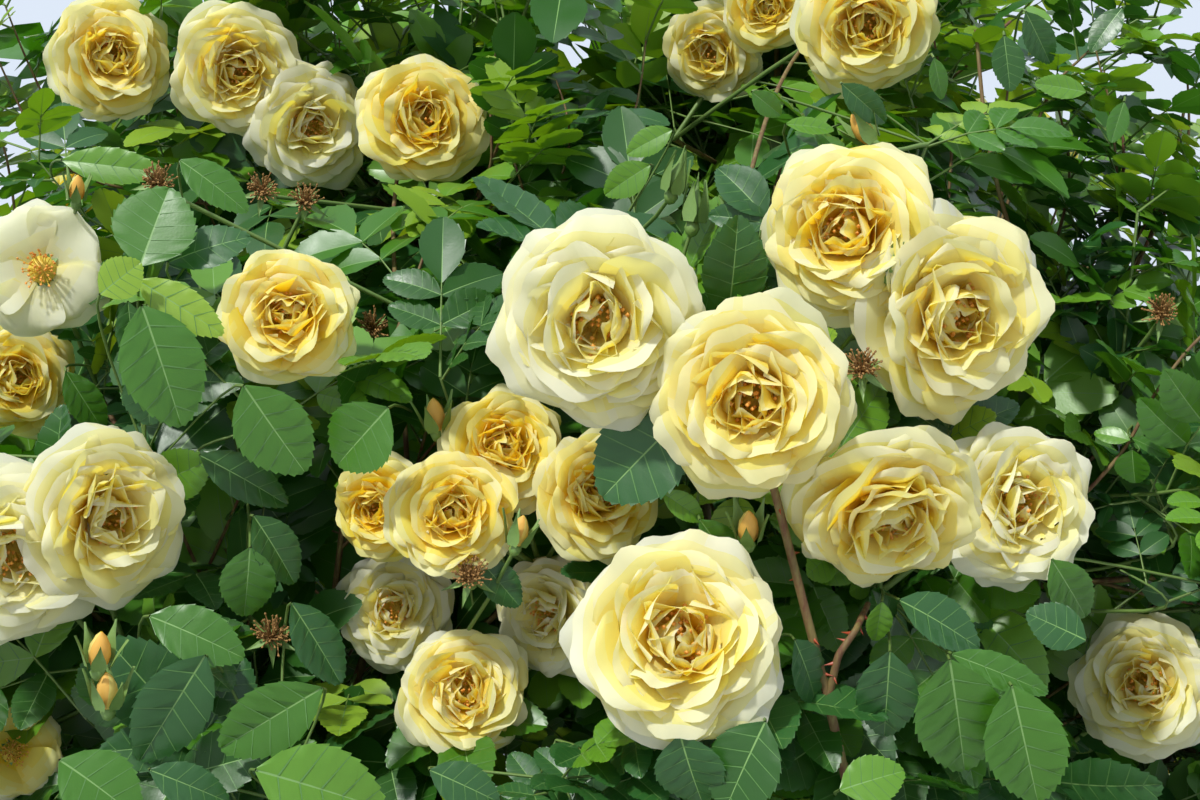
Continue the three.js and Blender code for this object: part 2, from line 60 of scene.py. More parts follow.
# The shrub, in millimetres, with the numbers of its solids
HEIGHT, SPREAD, WAIST, SKIRT = 1560, 1440, 960, 150
GAP = 0.3
CROWN_HEIGHT, CROWN_RADIUS = 122, 46
CANE_LEAN, CANE_FOOT, CANE_TIP = 30, 9.5, 5
BRANCH_FOOT, BRANCH_TIP, STEM_TIP = 5.4, 3.8, 3
TWIG_ROOT, TWIG_TIP, TWIG_LONGEST = 2.1, 1.2, 250
STALK_ROOT, STALK_TIP = 1.9, 1.5
FLOWER_WIDTH, OTHER_FLOWERS, CLUSTER_DEPTH = 88, 2, 85
CORE_PLACE = 0.55
CENTRE = np.array((0.0, 0.0, 0.9 * WAIST))
TIERS = [
    ("upper", 8, -112.5, 995, 110, 500),
    ("middle", 8, -90, 650, 100, 500),
    ("low", 6, -120, 375, 60, 400),
    ("top", 5, -126, 1370, 40, 250),
]

# The point of view from which the flowers of the front were placed, and the shares of the way to it kept open
EYE = np.array((0.0, -1570.0, 1050.0))
EYE_PITCH, VIEW_REACH, VIEW_MIDDLE = math.radians(5), 1852, (600, 400)
CLEAR_SIGHT, LEAFLESS_SIGHT, SMALL_SIGHT, LEAFLET_SIGHT = 0.14, 0.36, 0.25, 0.2
SUN_TILT, SUN_TURN = math.radians(46), math.radians(-32)
TO_THE_SUN = np.array((
    math.sin(SUN_TURN) * math.sin(SUN_TILT), -math.cos(SUN_TURN) * math.sin(SUN_TILT), math.cos(SUN_TILT),
))

# The flowers of the front: [across, down, seen width, real width, right, up, age, fullness]
FRONT_CLUSTERS = {
    "high_left": [
        [112, 57, 122, 84, 8, 10, 0.3, 0.9],
        [238, 70, 128, 86, 4, -6, 0.5, 0.9],
        [312, 126, 124, 84, 14, -4, 0.9, 0.9],
        [424, 118, 132, 86, 4, 10, 0.2, 1],
    ],
    "lone_left": [[287, 314, 137, 72, -8, 10, 0.25, 0.8]],
    "far_left": [[38, 268, 128, 76, -12, 4, 1.5, 0.2], [18, 378, 118, 74, 10, 6, 0.3, 0.8]],
    "low_left": [
        [110, 520, 172, 88, 26, -6, 0.7, 1],
        [12, 554, 182, 92, 4, -8, 1.05, 1],
        [14, 752, 96, 52, 10, 0, 0.45, 0.4],
    ],
    "centre": [
        [597, 322, 212, 102, -4, -6, 0.88, 1],
        [752, 400, 198, 93, -4, -10, 0.4, 1],
        [846, 232, 184, 92, -14, 8, 0.4, 1],
        [956, 314, 208, 104, 30, -6, 0.6, 1],
    ],
    "right": [[888, 517, 196, 94, 16, -42, 0.5, 1], [1022, 505, 166, 84, 24, 0, 0.85, 0.9]],
    "small_yellow": [
        [601, 497, 130, 68, 18, 2, 0.2, 0.6],
        [505, 447, 125, 66, 6, 10, 0.1, 0.7],
        [453, 513, 128, 66, 0, 4, 0.2, 0.8],
        [376, 508, 108, 58, -34, -10, 0.0, 0.7],
    ],
    "small_low": [
        [394, 610, 118, 66, -10, 0, 0.9, 0.9],
        [464, 692, 132, 70, 4, 8, 0.45, 0.9],
        [548, 615, 124, 68, -28, -6, 1.05, 0.8],
    ],
    "low_centre": [[680, 637, 208, 98, 2, 8, 0.6, 1]],
    "low_right": [[1145, 685, 146, 82, -8, 4, 0.8, 1]],
    "top_centre": [
        [712, 52, 104, 72, -18, -10, 0.5, 0.9],
        [868, 24, 142, 84, 6, -8, 0.35, 1],
        [768, 6, 92, 62, 0, 0, 0.2, 0.8],
    ],
}

# What else was seen at the front. Buds: [across, down, distance from the eye, whether the petals show]
FRONT_BUDS = [
    [671, 196, 985, 0], [692, 228, 985, 0], [743, 231, 985, 0], [752, 272, 965, 1], [515, 549, 945, 1],
    [98, 672, 900, 1], [108, 712, 905, 1], [76, 204, 1090, 1], [437, 434, 985, 1], [748, 545, 905, 1],
    [874, 146, 975, 1], [890, 278, 915, 0],
]
# Spent flowers: [across, down, distance]
FRONT_SPENT = [
    [862, 375, 905], [470, 582, 955], [262, 195, 1130], [305, 205, 1120], [372, 332, 1080], [272, 641, 960],
    [157, 188, 1010], [1162, 318, 1020],
]
# Stems: how thick, whether the foot goes back to the heart of a mass, and [across, down, distance] on the way
FRONT_STEMS = [
    (2.9, True, [[868, 880, 935], [846, 780, 918], [826, 690, 908], [800, 590, 903], [782, 520, 893], [764, 450, 885]]),
    (2.1, False, [[828, 700, 909], [838, 655, 905], [856, 630, 906], [868, 604, 930]]),
    (1.9, True, [[410, 480, 1080], [402, 400, 1095], [396, 300, 1150], [392, 220, 1210], [398, 170, 1240]]),
    (1.6, True, [[735, 255, 1000], [752, 165, 1010], [772, 100, 1060], [792, 60, 1110], [822, 24, 1140]]),
    (1.6, True, [[1016, 250, 1060], [998, 190, 1070], [984, 120, 1085], [976, 30, 1095]]),
    (1.4, True, [[1100, 330, 1085], [1140, 262, 1090], [1172, 180, 1095], [1184, 110, 1100]]),
    (1.2, True, [[1090, 490, 1010], [1128, 446, 1005], [1150, 400, 1000], [1186, 350, 1000], [1240, 300, 995]]),
]
# Leafy shoots, most of them at the top: [across, down, distance] on the way
FRONT_SHOOTS = [
    [[95, 200, 1320], [60, 130, 1310], [25, 60, 1300], [5, 5, 1290]], [[20, 240, 1270], [8, 150, 1260], [-25, 60, 1250]],
    [[60, 190, 1290], [30, 130, 1280], [-20, 20, 1270]], [[190, 180, 1340], [172, 90, 1330], [160, 25, 1320]],
    [[330, 150, 1350], [342, 80, 1340], [338, 20, 1330]], [[500, 190, 1190], [486, 100, 1190], [500, 30, 1200]],
    [[480, 230, 1150], [500, 190, 1150], [540, 150, 1160]], [[560, 210, 1170], [575, 130, 1180], [556, 80, 1190]],
    [[620, 160, 1180], [640, 100, 1190], [646, 40, 1200]], [[540, 260, 1130], [524, 190, 1160], [504, 130, 1220]],
    [[960, 170, 1130], [946, 100, 1130], [930, 20, 1130]], [[1060, 250, 1110], [1075, 170, 1110], [1056, 100, 1110]],
    [[1120, 240, 1110], [1118, 160, 1110], [1104, 70, 1110]], [[1176, 220, 1100], [1192, 140, 1100], [1186, 60, 1100]],
    [[1010, 220, 1120], [1000, 140, 1120], [1012, 60, 1120]], [[1090, 320, 1090], [1130, 250, 1090], [1160, 200, 1090]],
    [[1040, 90, 1130], [1070, 70, 1130], [1110, 30, 1130]], [[1150, 180, 1110], [1110, 110, 1110], [1096, 50, 1110]],
    [[400, 90, 1340], [392, 50, 1330], [420, 10, 1320]], [[900, 220, 1130], [925, 140, 1130], [905, 80, 1130]],
    [[1180, 330, 1080], [1192, 260, 1080], [1210, 190, 1080]], [[1040, 330, 1100], [1066, 290, 1095], [1080, 220, 1095]],
    [[240, 180, 1340], [226, 110, 1330], [240, 20, 1330]], [[80, 160, 1330], [130, 110, 1320], [180, 50, 1320]],
    [[500, 860, 980], [528, 800, 965], [556, 740, 960]], [[620, 870, 960], [640, 820, 950], [606, 760, 950]],
    [[560, 880, 940], [590, 830, 935], [560, 780, 935]], [[1170, 470, 1060], [1190, 400, 1050], [1180, 340, 1050]],
    [[1100, 420, 1070], [1120, 370, 1060], [1090, 320, 1060]], [[1060, 380, 1080], [1070, 320, 1070], [1050, 280, 1070]],
    [[1196, 560, 1030], [1170, 520, 1025], [1140, 500, 1020]], [[1190, 620, 1010], [1160, 590, 1000], [1120, 570, 1000]],
    [[950, 20, 1150], [1000, 10, 1150], [1060, 30, 1150]], [[1196, 30, 1150], [1150, 10, 1150], [1120, 30, 1150]],
    [[20, 450, 1190], [70, 420, 1180], [110, 370, 1175]], [[110, 250, 1190], [70, 200, 1180], [30, 150, 1170]],
]
# Leaflets: where one starts and ends in view, its distance, its width for its length, and its green
FRONT_LEAFLETS = [
    [140, 266, 168, 186, 960, 0.95, 2], [142, 306, 184, 424, 930, 0.66, 2], [145, 366, 150, 426, 945, 0.8, 1],
    [128, 302, 134, 362, 950, 0.5, 0], [138, 280, 222, 332, 940, 0.42, 4], [100, 294, 140, 262, 925, 0.85, 4],
    [168, 262, 246, 228, 975, 0.6, 1], [244, 386, 303, 474, 920, 0.72, 2], [388, 408, 334, 466, 930, 0.88, 2],
    [150, 486, 208, 462, 985, 0.8, 3], [250, 548, 246, 618, 950, 0.8, 2], [254, 516, 300, 582, 955, 0.6, 0],
    [150, 616, 243, 652, 915, 0.55, 2], [322, 688, 216, 752, 885, 0.5, 2], [256, 770, 388, 806, 865, 0.62, 3],
    [205, 656, 140, 762, 905, 0.6, 1], [292, 603, 345, 682, 925, 0.55, 1], [200, 455, 290, 500, 980, 0.5, 0],
    [62, 160, 160, 170, 1100, 0.36, 3], [180, 160, 248, 205, 990, 0.5, 2], [60, 760, 140, 812, 880, 0.8, 2],
    [150, 770, 230, 800, 890, 0.5, 1], [686, 412, 600, 496, 905, 0.8, 1], [662, 492, 705, 520, 905, 0.5, 3],
    [890, 652, 884, 740, 885, 0.64, 1], [950, 660, 968, 778, 870, 0.7, 2], [1012, 686, 1040, 808, 865, 0.64, 2],
    [900, 600, 985, 642, 890, 0.6, 1], [1086, 640, 1028, 612, 905, 0.75, 1], [1052, 560, 1092, 622, 925, 0.55, 2],
    [952, 654, 1052, 690, 875, 0.34, 2], [795, 640, 825, 705, 890, 0.6, 1], [680, 735, 700, 808, 862, 0.9, 1],
    [765, 722, 720, 814, 858, 0.75, 0], [882, 602, 876, 642, 895, 0.6, 3], [1130, 440, 1094, 430, 1000, 0.55, 3],
    [1132, 450, 1134, 484, 1000, 1.0, 2], [1132, 438, 1172, 455, 1000, 0.42, 2], [840, 790, 905, 768, 870, 0.7, 3],
    [650, 165, 604, 194, 1010, 0.62, 3], [842, 84, 888, 124, 960, 0.48, 1], [786, 124, 836, 126, 955, 0.4, 3],
    [1004, 36, 1012, 90, 1050, 0.62, 0], [1026, 12, 1052, 64, 1050, 0.5, 1], [1122, 8, 1090, 46, 1060, 0.52, 0],
    [1086, 92, 1036, 82, 1050, 0.48, 3], [1124, 102, 1112, 142, 1040, 0.5, 2], [672, 130, 626, 152, 1020, 0.55, 3],
    [934, 58, 944, 100, 990, 0.45, 2], [752, 92, 782, 116, 950, 0.6, 2], [66, 372, 104, 432, 1110, 0.5, 2],
    [480, 560, 520, 606, 960, 0.6, 1], [700, 520, 738, 570, 900, 0.55, 2], [430, 770, 500, 800, 900, 0.6, 1],
]

# Openings in the top of the crown where the sky was seen: [across, down, half width, half height]
SKY_WINDOWS = [
    [352, 14, 34, 22], [455, 2, 40, 16], [545, 52, 30, 34], [590, 36, 24, 30], [505, 108, 24, 20], [625, 14, 26, 20],
    [985, 66, 34, 30], [1058, 26, 46, 26], [1150, 74, 44, 26], [1190, 20, 30, 26], [30, 6, 26, 14], [178, 4, 22, 12],
]

# How fine the dressing is
FIRST_TWIGS, SIDE_SHOOTS, SIDE_ROOT, SIDE_TIP = 20, (0.28, 0.48, 0.68, 0.86), 1.3, 0.9
NODE_STEP, NODE_TURN = 36, 2.4
LEAF_LENGTH, RIB_SHARE, LEAF_NEAREST = 132, 0.66, 870
CLOSE_LEAFLETS, NEAR_LEAFLETS, NEAR_RIBS = 1010, 1300, 1400
STEM_STEPS = 33
MOST_FACES = 185000
ANY_OWNER, HINDRANCES = -2, ("limb", "flower", "sight")


# Draws, ways and places, as the solids use them
def dice(seed):
    state = [(seed + 1) * 2654435761 & 0xFFFFFFFF]

    def roll():
        state[0] = (state[0] * 1664525 + 1013904223) & 0xFFFFFFFF
        return state[0] / 4294967296

    return roll


def vec(*parts):
    return np.array(parts, float)


def unit(v):
    return v / np.maximum(np.linalg.norm(v, axis=-1, keepdims=True), 1e-9)


def length(v):
    return float(np.linalg.norm(v))


def blend(*parts):
    return unit(sum(np.asarray(way) * share for way, share in parts))


def heading(degrees):
    turn = math.radians(degrees)
    return vec(math.cos(turn), math.sin(turn), 0)


def square_to(way):
    across = unit(np.cross(way, heading(0) if abs(way[2]) > 0.9 else UP))
    return across, np.cross(way, across)


def squares_to(ways):
    """The same for many ways at once."""
    steep = np.abs(ways[:, 2:]) > 0.9
    across = unit(np.cross(ways, np.where(steep, heading(0), UP)))
    return across, np.cross(ways, across)


def turned(v, axis, degrees):
    turn = math.radians(degrees)
    about = axis * np.dot(axis, v) * (1 - math.cos(turn))
    return v * math.cos(turn) + np.cross(axis, v) * math.sin(turn) + about


def around(across, along, turn):
    """The way at a turn in the plane of two ways: for one turn, or for one in each row."""
    return across * np.cos(turn)[..., None] + along * np.sin(turn)[..., None]


def nearest(points, place):
    return int(np.argmin(np.linalg.norm(points - place, axis=1)))


def cubic(hull, t):
    """Points of a cubic curve, for t in a column."""
    a, b, c, d = hull
    return (1 - t) ** 3 * a + 3 * t * (1 - t) ** 2 * b + 3 * t**2 * (1 - t) * c + t**3 * d


def reach_at(z, turn):
    """How far the crown reaches from its axis at a height and a turn."""
    uneven = 1 + 0.045 * np.sin(3 * turn + 1) + 0.035 * np.sin(5 * turn + z / 170)
    up = np.clip((z - WAIST) / (HEIGHT - WAIST), 0, 1)
    down = np.clip((WAIST - z) / WAIST, 0, 1)
    above = np.sqrt(np.maximum(0, 1 - up**2.6))
    return SPREAD / 2 * uneven * np.where(z > WAIST, above, 1 - 0.4 * down**1.8)


def inside_crown(points, margin):
    points = np.atleast_2d(points)
    top = points[:, 2] + margin * 0.6
    out = np.hypot(points[:, 0], points[:, 1]) + margin
    turn = np.arctan2(points[:, 1], points[:, 0])
    return (points[:, 2] > SKIRT) & (top < HEIGHT) & (out < reach_at(top, turn))


def place_masses():
    masses = []
    for tier, count, turn, rise, stagger, out in TIERS:
        for i in range(count):
            roll = dice(100 + len(masses))
            outward = heading(turn + 360 / count * i + ((roll() - 0.5) * 9 if i else 0))
            height = rise + (i % 2) * stagger + (roll() - 0.5) * 40
            middle = outward * out + UP * height
            heart = middle - blend((outward, 0.45), (UP, 1)) * 95
            arriving = blend((outward, 0.55), (UP, 1))
            foot = heart - arriving * 90
            masses.append({
                "name": f"{tier}_{i + 1}", "tier": tier, "number": len(masses), "outward": outward,
                "middle": middle, "heart": heart, "core": heart + (middle - heart) * CORE_PLACE,
                "lead": unit(middle - CENTRE), "arriving": arriving, "foot": foot,
                "limb_tip": foot - arriving * GAP, "clusters": [],
            })
    return masses


MASSES = place_masses()
MIDDLES = np.array([mass["middle"] for mass in MASSES])
HEARTS = np.array([mass["heart"] for mass in MASSES])
MASS_NODES = [f"shoots_{mass['name']}" for mass in MASSES]


def in_own_space(numbers, points, margin):
    """Whether each point lies nearer its mass's middle than any other, by a margin on each side."""
    own = MIDDLES[numbers]
    across = MIDDLES[None] - own[:, None]
    reach = np.linalg.norm(across, axis=2)
    along = np.einsum("nmk,nk->nm", across, points - own) / np.maximum(reach, 1e-9)
    return np.all((along <= reach / 2 - margin) | (reach < 1e-6), axis=1)


class Rods:
    """What already takes up room, as round-ended rods."""

    def __init__(self):
        self.rows = []

    def take(self, start, end, radius, owner, kind):
        self.rows.append((np.array(start), np.array(end), radius, owner, kind))

    def clear(self, points, margin, owner, pass_own=(), kinds=None):
        """Whether each point keeps a margin from all rods, but for those kinds of its owner that it may pass."""
        rows = [r for r in self.rows if not (r[3] == owner and r[4] in pass_own) and (not kinds or r[4] in kinds)]
        if not rows:
            return np.ones(len(points), bool)
        start, end = (np.array([r[i] for r in rows]) for i in (0, 1))
        radius = np.array([r[2] for r in rows])
        span = end - start
        near = np.ones(len(points), bool)
        for at in range(0, len(points), 4000):
            part = points[at : at + 4000, None] - start
            share = np.einsum("prk,rk->pr", part, span) / np.maximum(np.sum(span**2, axis=1), 1e-9)
            gap = np.linalg.norm(part - np.clip(share, 0, 1)[..., None] * span, axis=2)
            near[at : at + 4000] = np.all(gap > radius + margin, axis=1)
        return near


ROOM = Rods()


# Limbs: each one tapering cubic curve, walked by its length
class Limb:
    def __init__(self, start, leaving, end, arriving, foot, tip, mass):
        pull = 0.36 * length(end - start)
        self.hull = np.array([start, start + leaving * pull, end - arriving * pull, end])
        self.foot, self.tip, self.mass, self.forks = foot, tip, mass, []
        self.t = np.linspace(0, 1, 201)
        steps = np.linalg.norm(np.diff(self.on(self.t), axis=0), axis=1)
        self.walked = np.concatenate([[0], np.cumsum(steps)])

    def on(self, t):
        return cubic(self.hull, np.atleast_1d(t)[:, None])

    def at(self, share):
        return self.on(np.interp(np.asarray(share) * self.walked[-1], self.walked, self.t))

    def way(self, share):
        ends = self.at(np.clip([share - 0.002, share + 0.002], 0, 1))
        return unit(ends[1] - ends[0])

    def take(self, parts=12):
        points = self.at(np.linspace(0, 1, parts + 1))
        for i in range(parts):
            radius = self.foot + (self.tip - self.foot) * i / parts
            ROOM.take(points[i], points[i + 1], radius, self.mass["number"], "limb")


def place_canes():
    canes = []
    for i, mass in enumerate(m for m in MASSES if m["tier"] == "upper"):
        lean = math.radians(CANE_LEAN + (dice(300 + i)() - 0.5) * 10)
        leaving = blend((mass["outward"], math.sin(lean)), (UP, math.cos(lean)))
        inside = vec(0, 0, 62 + (i % 2) * 18)
        stub_end = inside + leaving * 74
        start = stub_end + leaving * GAP
        cane = Limb(start, leaving, mass["limb_tip"], mass["arriving"], CANE_FOOT, CANE_TIP, mass)
        cane.root = [inside, stub_end]
        canes.append(cane)
    return canes


def place_branches(canes):
    branches = []
    for tier, share in (("low", 0.1), ("middle", 0.4), ("top", 0.66)):
        used = [0] * len(canes)
        for mass in (m for m in MASSES if m["tier"] == tier):
            angles = [
                math.acos(np.clip(np.dot(cane.mass["outward"], mass["outward"]), -1, 1)) + used[i] * 0.3
                for i, cane in enumerate(canes)
            ]
            chosen = int(np.argmin(angles))
            used[chosen] += 1
            cane = canes[chosen]
            root, cane_way = cane.at(share)[0], cane.way(share)
            leaving = blend((unit(mass["limb_tip"] - root), 0.85), (cane_way, 0.4))
            angle = math.acos(np.dot(cane_way, leaving))
            radius = CANE_FOOT + (CANE_TIP - CANE_FOOT) * share
            stub = (radius + BRANCH_FOOT * math.cos(angle)) / math.sin(angle) + 5
            stub_end = root + leaving * stub
            start = stub_end + leaving * GAP
            branch = Limb(start, leaving, mass["limb_tip"], mass["arriving"], BRANCH_FOOT, BRANCH_TIP, mass)
            branch.root = [root, stub_end]
            cane.forks.append(branch.root)
            branches.append(branch)
    return branches


CANES = place_canes()
BRANCHES = place_branches(CANES)
for limb in CANES + BRANCHES:
    limb.take()
for cane in CANES:
    for root, stub_end in cane.forks:
        ROOM.take(root, stub_end, BRANCH_FOOT, -1, "limb")
ROOM.take(vec(0, 0, 0), vec(0, 0, CROWN_HEIGHT), CROWN_RADIUS, -1, "limb")


# Flowers: where they were seen at the front, and clusters on every other mass
def seen_place(across, down, distance):
    sight = vec(across - VIEW_MIDDLE[0], VIEW_REACH, VIEW_MIDDLE[1] - down)
    c, s = math.cos(EYE_PITCH), math.sin(EYE_PITCH)
    sight = vec(sight[0], sight[1] * c - sight[2] * s, sight[1] * s + sight[2] * c)
    return EYE + sight * distance / VIEW_REACH


def seen_places(rows):
    return np.array([seen_place(*row) for row in rows])


def seen_at(points):
    """Where points fall in the view: across, down and how far ahead."""
    way = np.atleast_2d(points) - EYE
    c, s = math.cos(EYE_PITCH), math.sin(EYE_PITCH)
    ahead = way[:, 1] * c + way[:, 2] * s
    rise = way[:, 2] * c - way[:, 1] * s
    safe = np.maximum(ahead, 1)
    return VIEW_MIDDLE[0] + VIEW_REACH * way[:, 0] / safe, VIEW_MIDDLE[1] - VIEW_REACH * rise / safe, ahead


def in_view(across, down, beyond):
    """Whether each place of the view lies in the picture, or outside it by less than so much."""
    half_width, half_height = VIEW_MIDDLE
    return (np.abs(across - half_width) < half_width + beyond) & (np.abs(down - half_height) < half_height + beyond)


def seen_flower(row):
    across, down, seen_width, width, right, up, age, fullness = row
    centre = seen_place(across, down, VIEW_REACH * width / seen_width)
    face = turned(unit(EYE - centre), UP, right)
    face = turned(face, unit(np.cross(face, UP)), up)
    return {"centre": centre, "face": face, "width": width, "age": age, "fullness": fullness, "front": True}


def cluster_on(mass, flowers):
    centres = np.array([flower["centre"] for flower in flowers])
    middle = centres.mean(axis=0)
    spread = max(length(centre - middle) for centre in centres)
    fork = middle + blend((mass["outward"], -1), (UP, -0.55)) * max(CLUSTER_DEPTH, 0.95 * spread)
    return {"flowers": flowers, "fork": fork}


def take_cluster(mass, cluster):
    number = mass["number"]
    ROOM.take(mass["heart"], cluster["fork"], TWIG_ROOT, number, "stalk")
    for flower in cluster["flowers"]:
        flower["back"] = flower["centre"] - flower["face"] * 0.18 * flower["width"]
        ROOM.take(cluster["fork"], flower["back"], STALK_ROOT, number, "stalk")
        ROOM.take(flower["centre"], flower["centre"], flower["width"] / 2, number, "flower")


def find_flowers(mass, seed, count, tries_in_all, out_of_sight=False):
    """Tries directions round the mass's outward way, and steps of 10 mm along each, until it has its flowers."""
    roll = dice(seed)
    number = mass["number"]
    flowers = []
    level = np.cross(mass["outward"], UP)
    for tries in range(tries_in_all):
        if len(flowers) == count:
            break
        turn = tries * GOLDEN_TURN + roll() * 0.6
        wide = 0.95 * math.sqrt((tries + 0.5) / tries_in_all)
        way = blend((mass["outward"], 0.85), (UP, 0.5), (level, wide * math.cos(turn)), (UP, wide * math.sin(turn)))
        width = FLOWER_WIDTH * (0.82 + 0.3 * roll())
        distance = 120
        while distance < 460 and inside_crown(mass["heart"] + way * (distance + 10), 0.22 * width)[0]:
            distance += 10
        centre = mass["heart"] + way * distance
        fits = in_own_space([number], centre[None], width / 2 + 4)[0]
        if distance < 150 or not fits or not ROOM.clear(centre[None], width / 2 + 3, number, ("stalk",))[0]:
            continue
        if out_of_sight:
            across, down, _ = seen_at(centre)
            if centre[1] < 150 and in_view(across, down, 90)[0]:
                continue
        face = blend((mass["outward"], 0.62), (way, 0.5), (UP, 0.42))
        ROOM.take(centre, centre, width / 2, number, "flower")
        flowers.append({
            "centre": centre, "face": face, "width": width, "age": 0.15 + 0.75 * (tries * 0.618 % 1),
            "fullness": 0.75 + 0.25 * (tries * 0.382 % 1), "front": False,
        })
    return flowers


def keep_open(place, share, radius, owner=-1):
    """Keeps a share of the way from a place to the eye free of leaves."""
    ROOM.take(place, place + (EYE - place) * share, radius, owner, "sight")


def place_clusters():
    for rows in FRONT_CLUSTERS.values():
        flowers = [seen_flower(row) for row in rows]
        mass = MASSES[nearest(MIDDLES, np.mean([flower["centre"] for flower in flowers], axis=0))]
        mass["clusters"].append(cluster_on(mass, flowers))
        for flower in flowers:
            keep_open(flower["centre"], CLEAR_SIGHT, 0.36 * flower["width"], mass["number"])
    for mass in MASSES:
        ROOM.take(mass["foot"], mass["heart"], BRANCH_TIP, mass["number"], "stalk")
        for cluster in mass["clusters"]:
            take_cluster(mass, cluster)
    for mass in MASSES:
        if not mass["clusters"]:
            flowers = find_flowers(mass, 500 + mass["number"], OTHER_FLOWERS, 40)
            if flowers:
                mass["clusters"].append(cluster_on(mass, flowers))
                take_cluster(mass, mass["clusters"][-1])
    # From here on the dressing adds to what the solids hold: single flowers out of sight, and open ways for light
    for mass in MASSES:
        for flower in find_flowers(mass, 1500 + mass["number"], 3, 60, out_of_sight=True):
            mass["clusters"].append(cluster_on(mass, [flower]))
            take_cluster(mass, mass["clusters"][-1])
    for mass in MASSES:
        for cluster in mass["clusters"]:
            for flower in cluster["flowers"]:
                if flower["front"]:
                    centre, width = flower["centre"], flower["width"]
                    keep_open(centre, LEAFLESS_SIGHT, 0.43 * width, mass["number"])
                    lit_from = centre + TO_THE_SUN * 200
                    ROOM.take(centre + TO_THE_SUN * 40, lit_from, 0.36 * width, mass["number"], "sight")


def keep_in_sight():
    """Room between the eye and the buds, spent flowers and leaflets seen one by one."""
    for across, down, distance, _ in FRONT_BUDS:
        keep_open(seen_place(across, down, distance), SMALL_SIGHT, 9)
    for row in FRONT_SPENT:
        keep_open(seen_place(*row), SMALL_SIGHT, 10)
    for x, y, end_x, end_y, distance, breadth, _ in FRONT_LEAFLETS:
        wide = breadth * math.hypot(end_x - x, end_y - y) * distance / VIEW_REACH
        for share in (0.3, 0.7):
            place = seen_place(x + (end_x - x) * share, y + (end_y - y) * share, distance)
            keep_open(place, LEAFLET_SIGHT, 0.38 * wide)


place_clusters()
keep_in_sight()
FLOWERS = [flower for mass in MASSES for cluster in mass["clusters"] for flower in cluster["flowers"]]
FRONT_FLOWERS = [flower for flower in FLOWERS if flower["front"]]
OTHERS = [flower for flower in FLOWERS if not flower["front"]]


# Joined meshes of many small shapes of one kind
class Heap:
    """Gathers small shapes of one kind and makes joined pieces of them, each under the most faces of a piece."""

    def __init__(self, name, materials, slot="foliage", nodes=MASS_NODES):
        self.name, self.materials, self.slot, self.nodes, self.parts = name, materials, slot, nodes, []

    def add(self, points, faces, tones):
        """points: copies x corners x 3; faces: the corners of each; tones: material numbers, copies x faces."""
        points = np.asarray(points, np.float32)
        if len(points):
            tones = np.broadcast_to(np.asarray(tones, np.int32), (len(points), len(faces)))
            self.parts.append((points, np.asarray(faces, np.int32), tones))

    def rods(self, paths, radii, sides, tones):
        """Round rods along paths of as many points each; radii: one, one a point, or one a point of each path."""
        paths = np.asarray(paths, float)
        corners = tubes(paths, np.broadcast_to(radii, paths.shape[:2]), sides)
        self.add(corners, grid_faces(paths.shape[1], sides, closed=True), tones)

    def stand(self, form, origins, ways, sizes, tones):
        """Copies of a turned form, stood on origins along ways."""
        self.add(stood(form[0], origins, ways, sizes), form[1], tones)

    def count(self):
        return sum(len(points) * len(faces) * (faces.shape[1] - 2) for points, faces, _ in self.parts)

    def make(self):
        pieces = math.ceil(self.count() / MOST_FACES)
        for i, parts in enumerate(self._shared_out(pieces)):
            piece = joined_piece(self.name + (f"_{i + 1}" if pieces > 1 else ""), parts, self.materials)
            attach(piece, "root")
            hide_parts(*self.nodes)

    def _shared_out(self, pieces):
        """The copies dealt by their turn round the shrub, as many faces to each piece."""
        turns, weights = [], []
        for points, faces, _ in self.parts:
            middle = points.mean(axis=1)
            turns.append(np.arctan2(middle[:, 1], middle[:, 0]))
            weights.append(np.full(len(points), len(faces) * (faces.shape[1] - 2)))
        order = np.argsort(np.concatenate(turns), kind="stable")
        walked = np.cumsum(np.concatenate(weights)[order])
        share = np.empty(len(order), int)
        share[order] = np.minimum(pieces - 1, (walked - 1) * pieces // walked[-1])
        made = [[] for _ in range(pieces)]
        start = 0
        for points, faces, tones in self.parts:
            own = share[start : start + len(points)]
            start += len(points)
            for i in range(pieces):
                if (own == i).any():
                    made[i].append((points[own == i], faces, tones[own == i]))
        return made


def placed(name, data):
    """A new object of the scene."""
    thing = bpy.data.objects.new(name, data)
    bpy.context.scene.collection.objects.link(thing)
    return thing


def joined_piece(name, parts, materials):
    corners, loops, sizes, tones = [], [], [], []
    start = 0
    for points, faces, tone in parts:
        copies, each = points.shape[:2]
        corners.append(points.reshape(-1, 3) * MM)
        offsets = start + np.arange(copies, dtype=np.int32)[:, None, None] * each
        loops.append((faces[None] + offsets).reshape(-1))
        sizes.append(np.full(copies * len(faces), faces.shape[1], np.int32))
        tones.append(tone.reshape(-1))
        start += copies * each
    corners, loops, sizes, tones = map(np.concatenate, (corners, loops, sizes, tones))
    mesh = bpy.data.meshes.new(name)
    mesh.vertices.add(len(corners))
    mesh.vertices.foreach_set("co", corners.reshape(-1))
    mesh.loops.add(len(loops))
    mesh.loops.foreach_set("vertex_index", loops)
    mesh.polygons.add(len(sizes))
    mesh.polygons.foreach_set("loop_start", np.concatenate([[0], np.cumsum(sizes)[:-1]]).astype(np.int32))
    mesh.polygons.foreach_set("loop_total", sizes)
    for material in materials:
        mesh.materials.append(material)
    mesh.polygons.foreach_set("material_index", tones)
    mesh.polygons.foreach_set("use_smooth", np.ones(len(sizes), bool))
    mesh.update(calc_edges=True)
    mesh.validate()
    return placed(name, mesh)


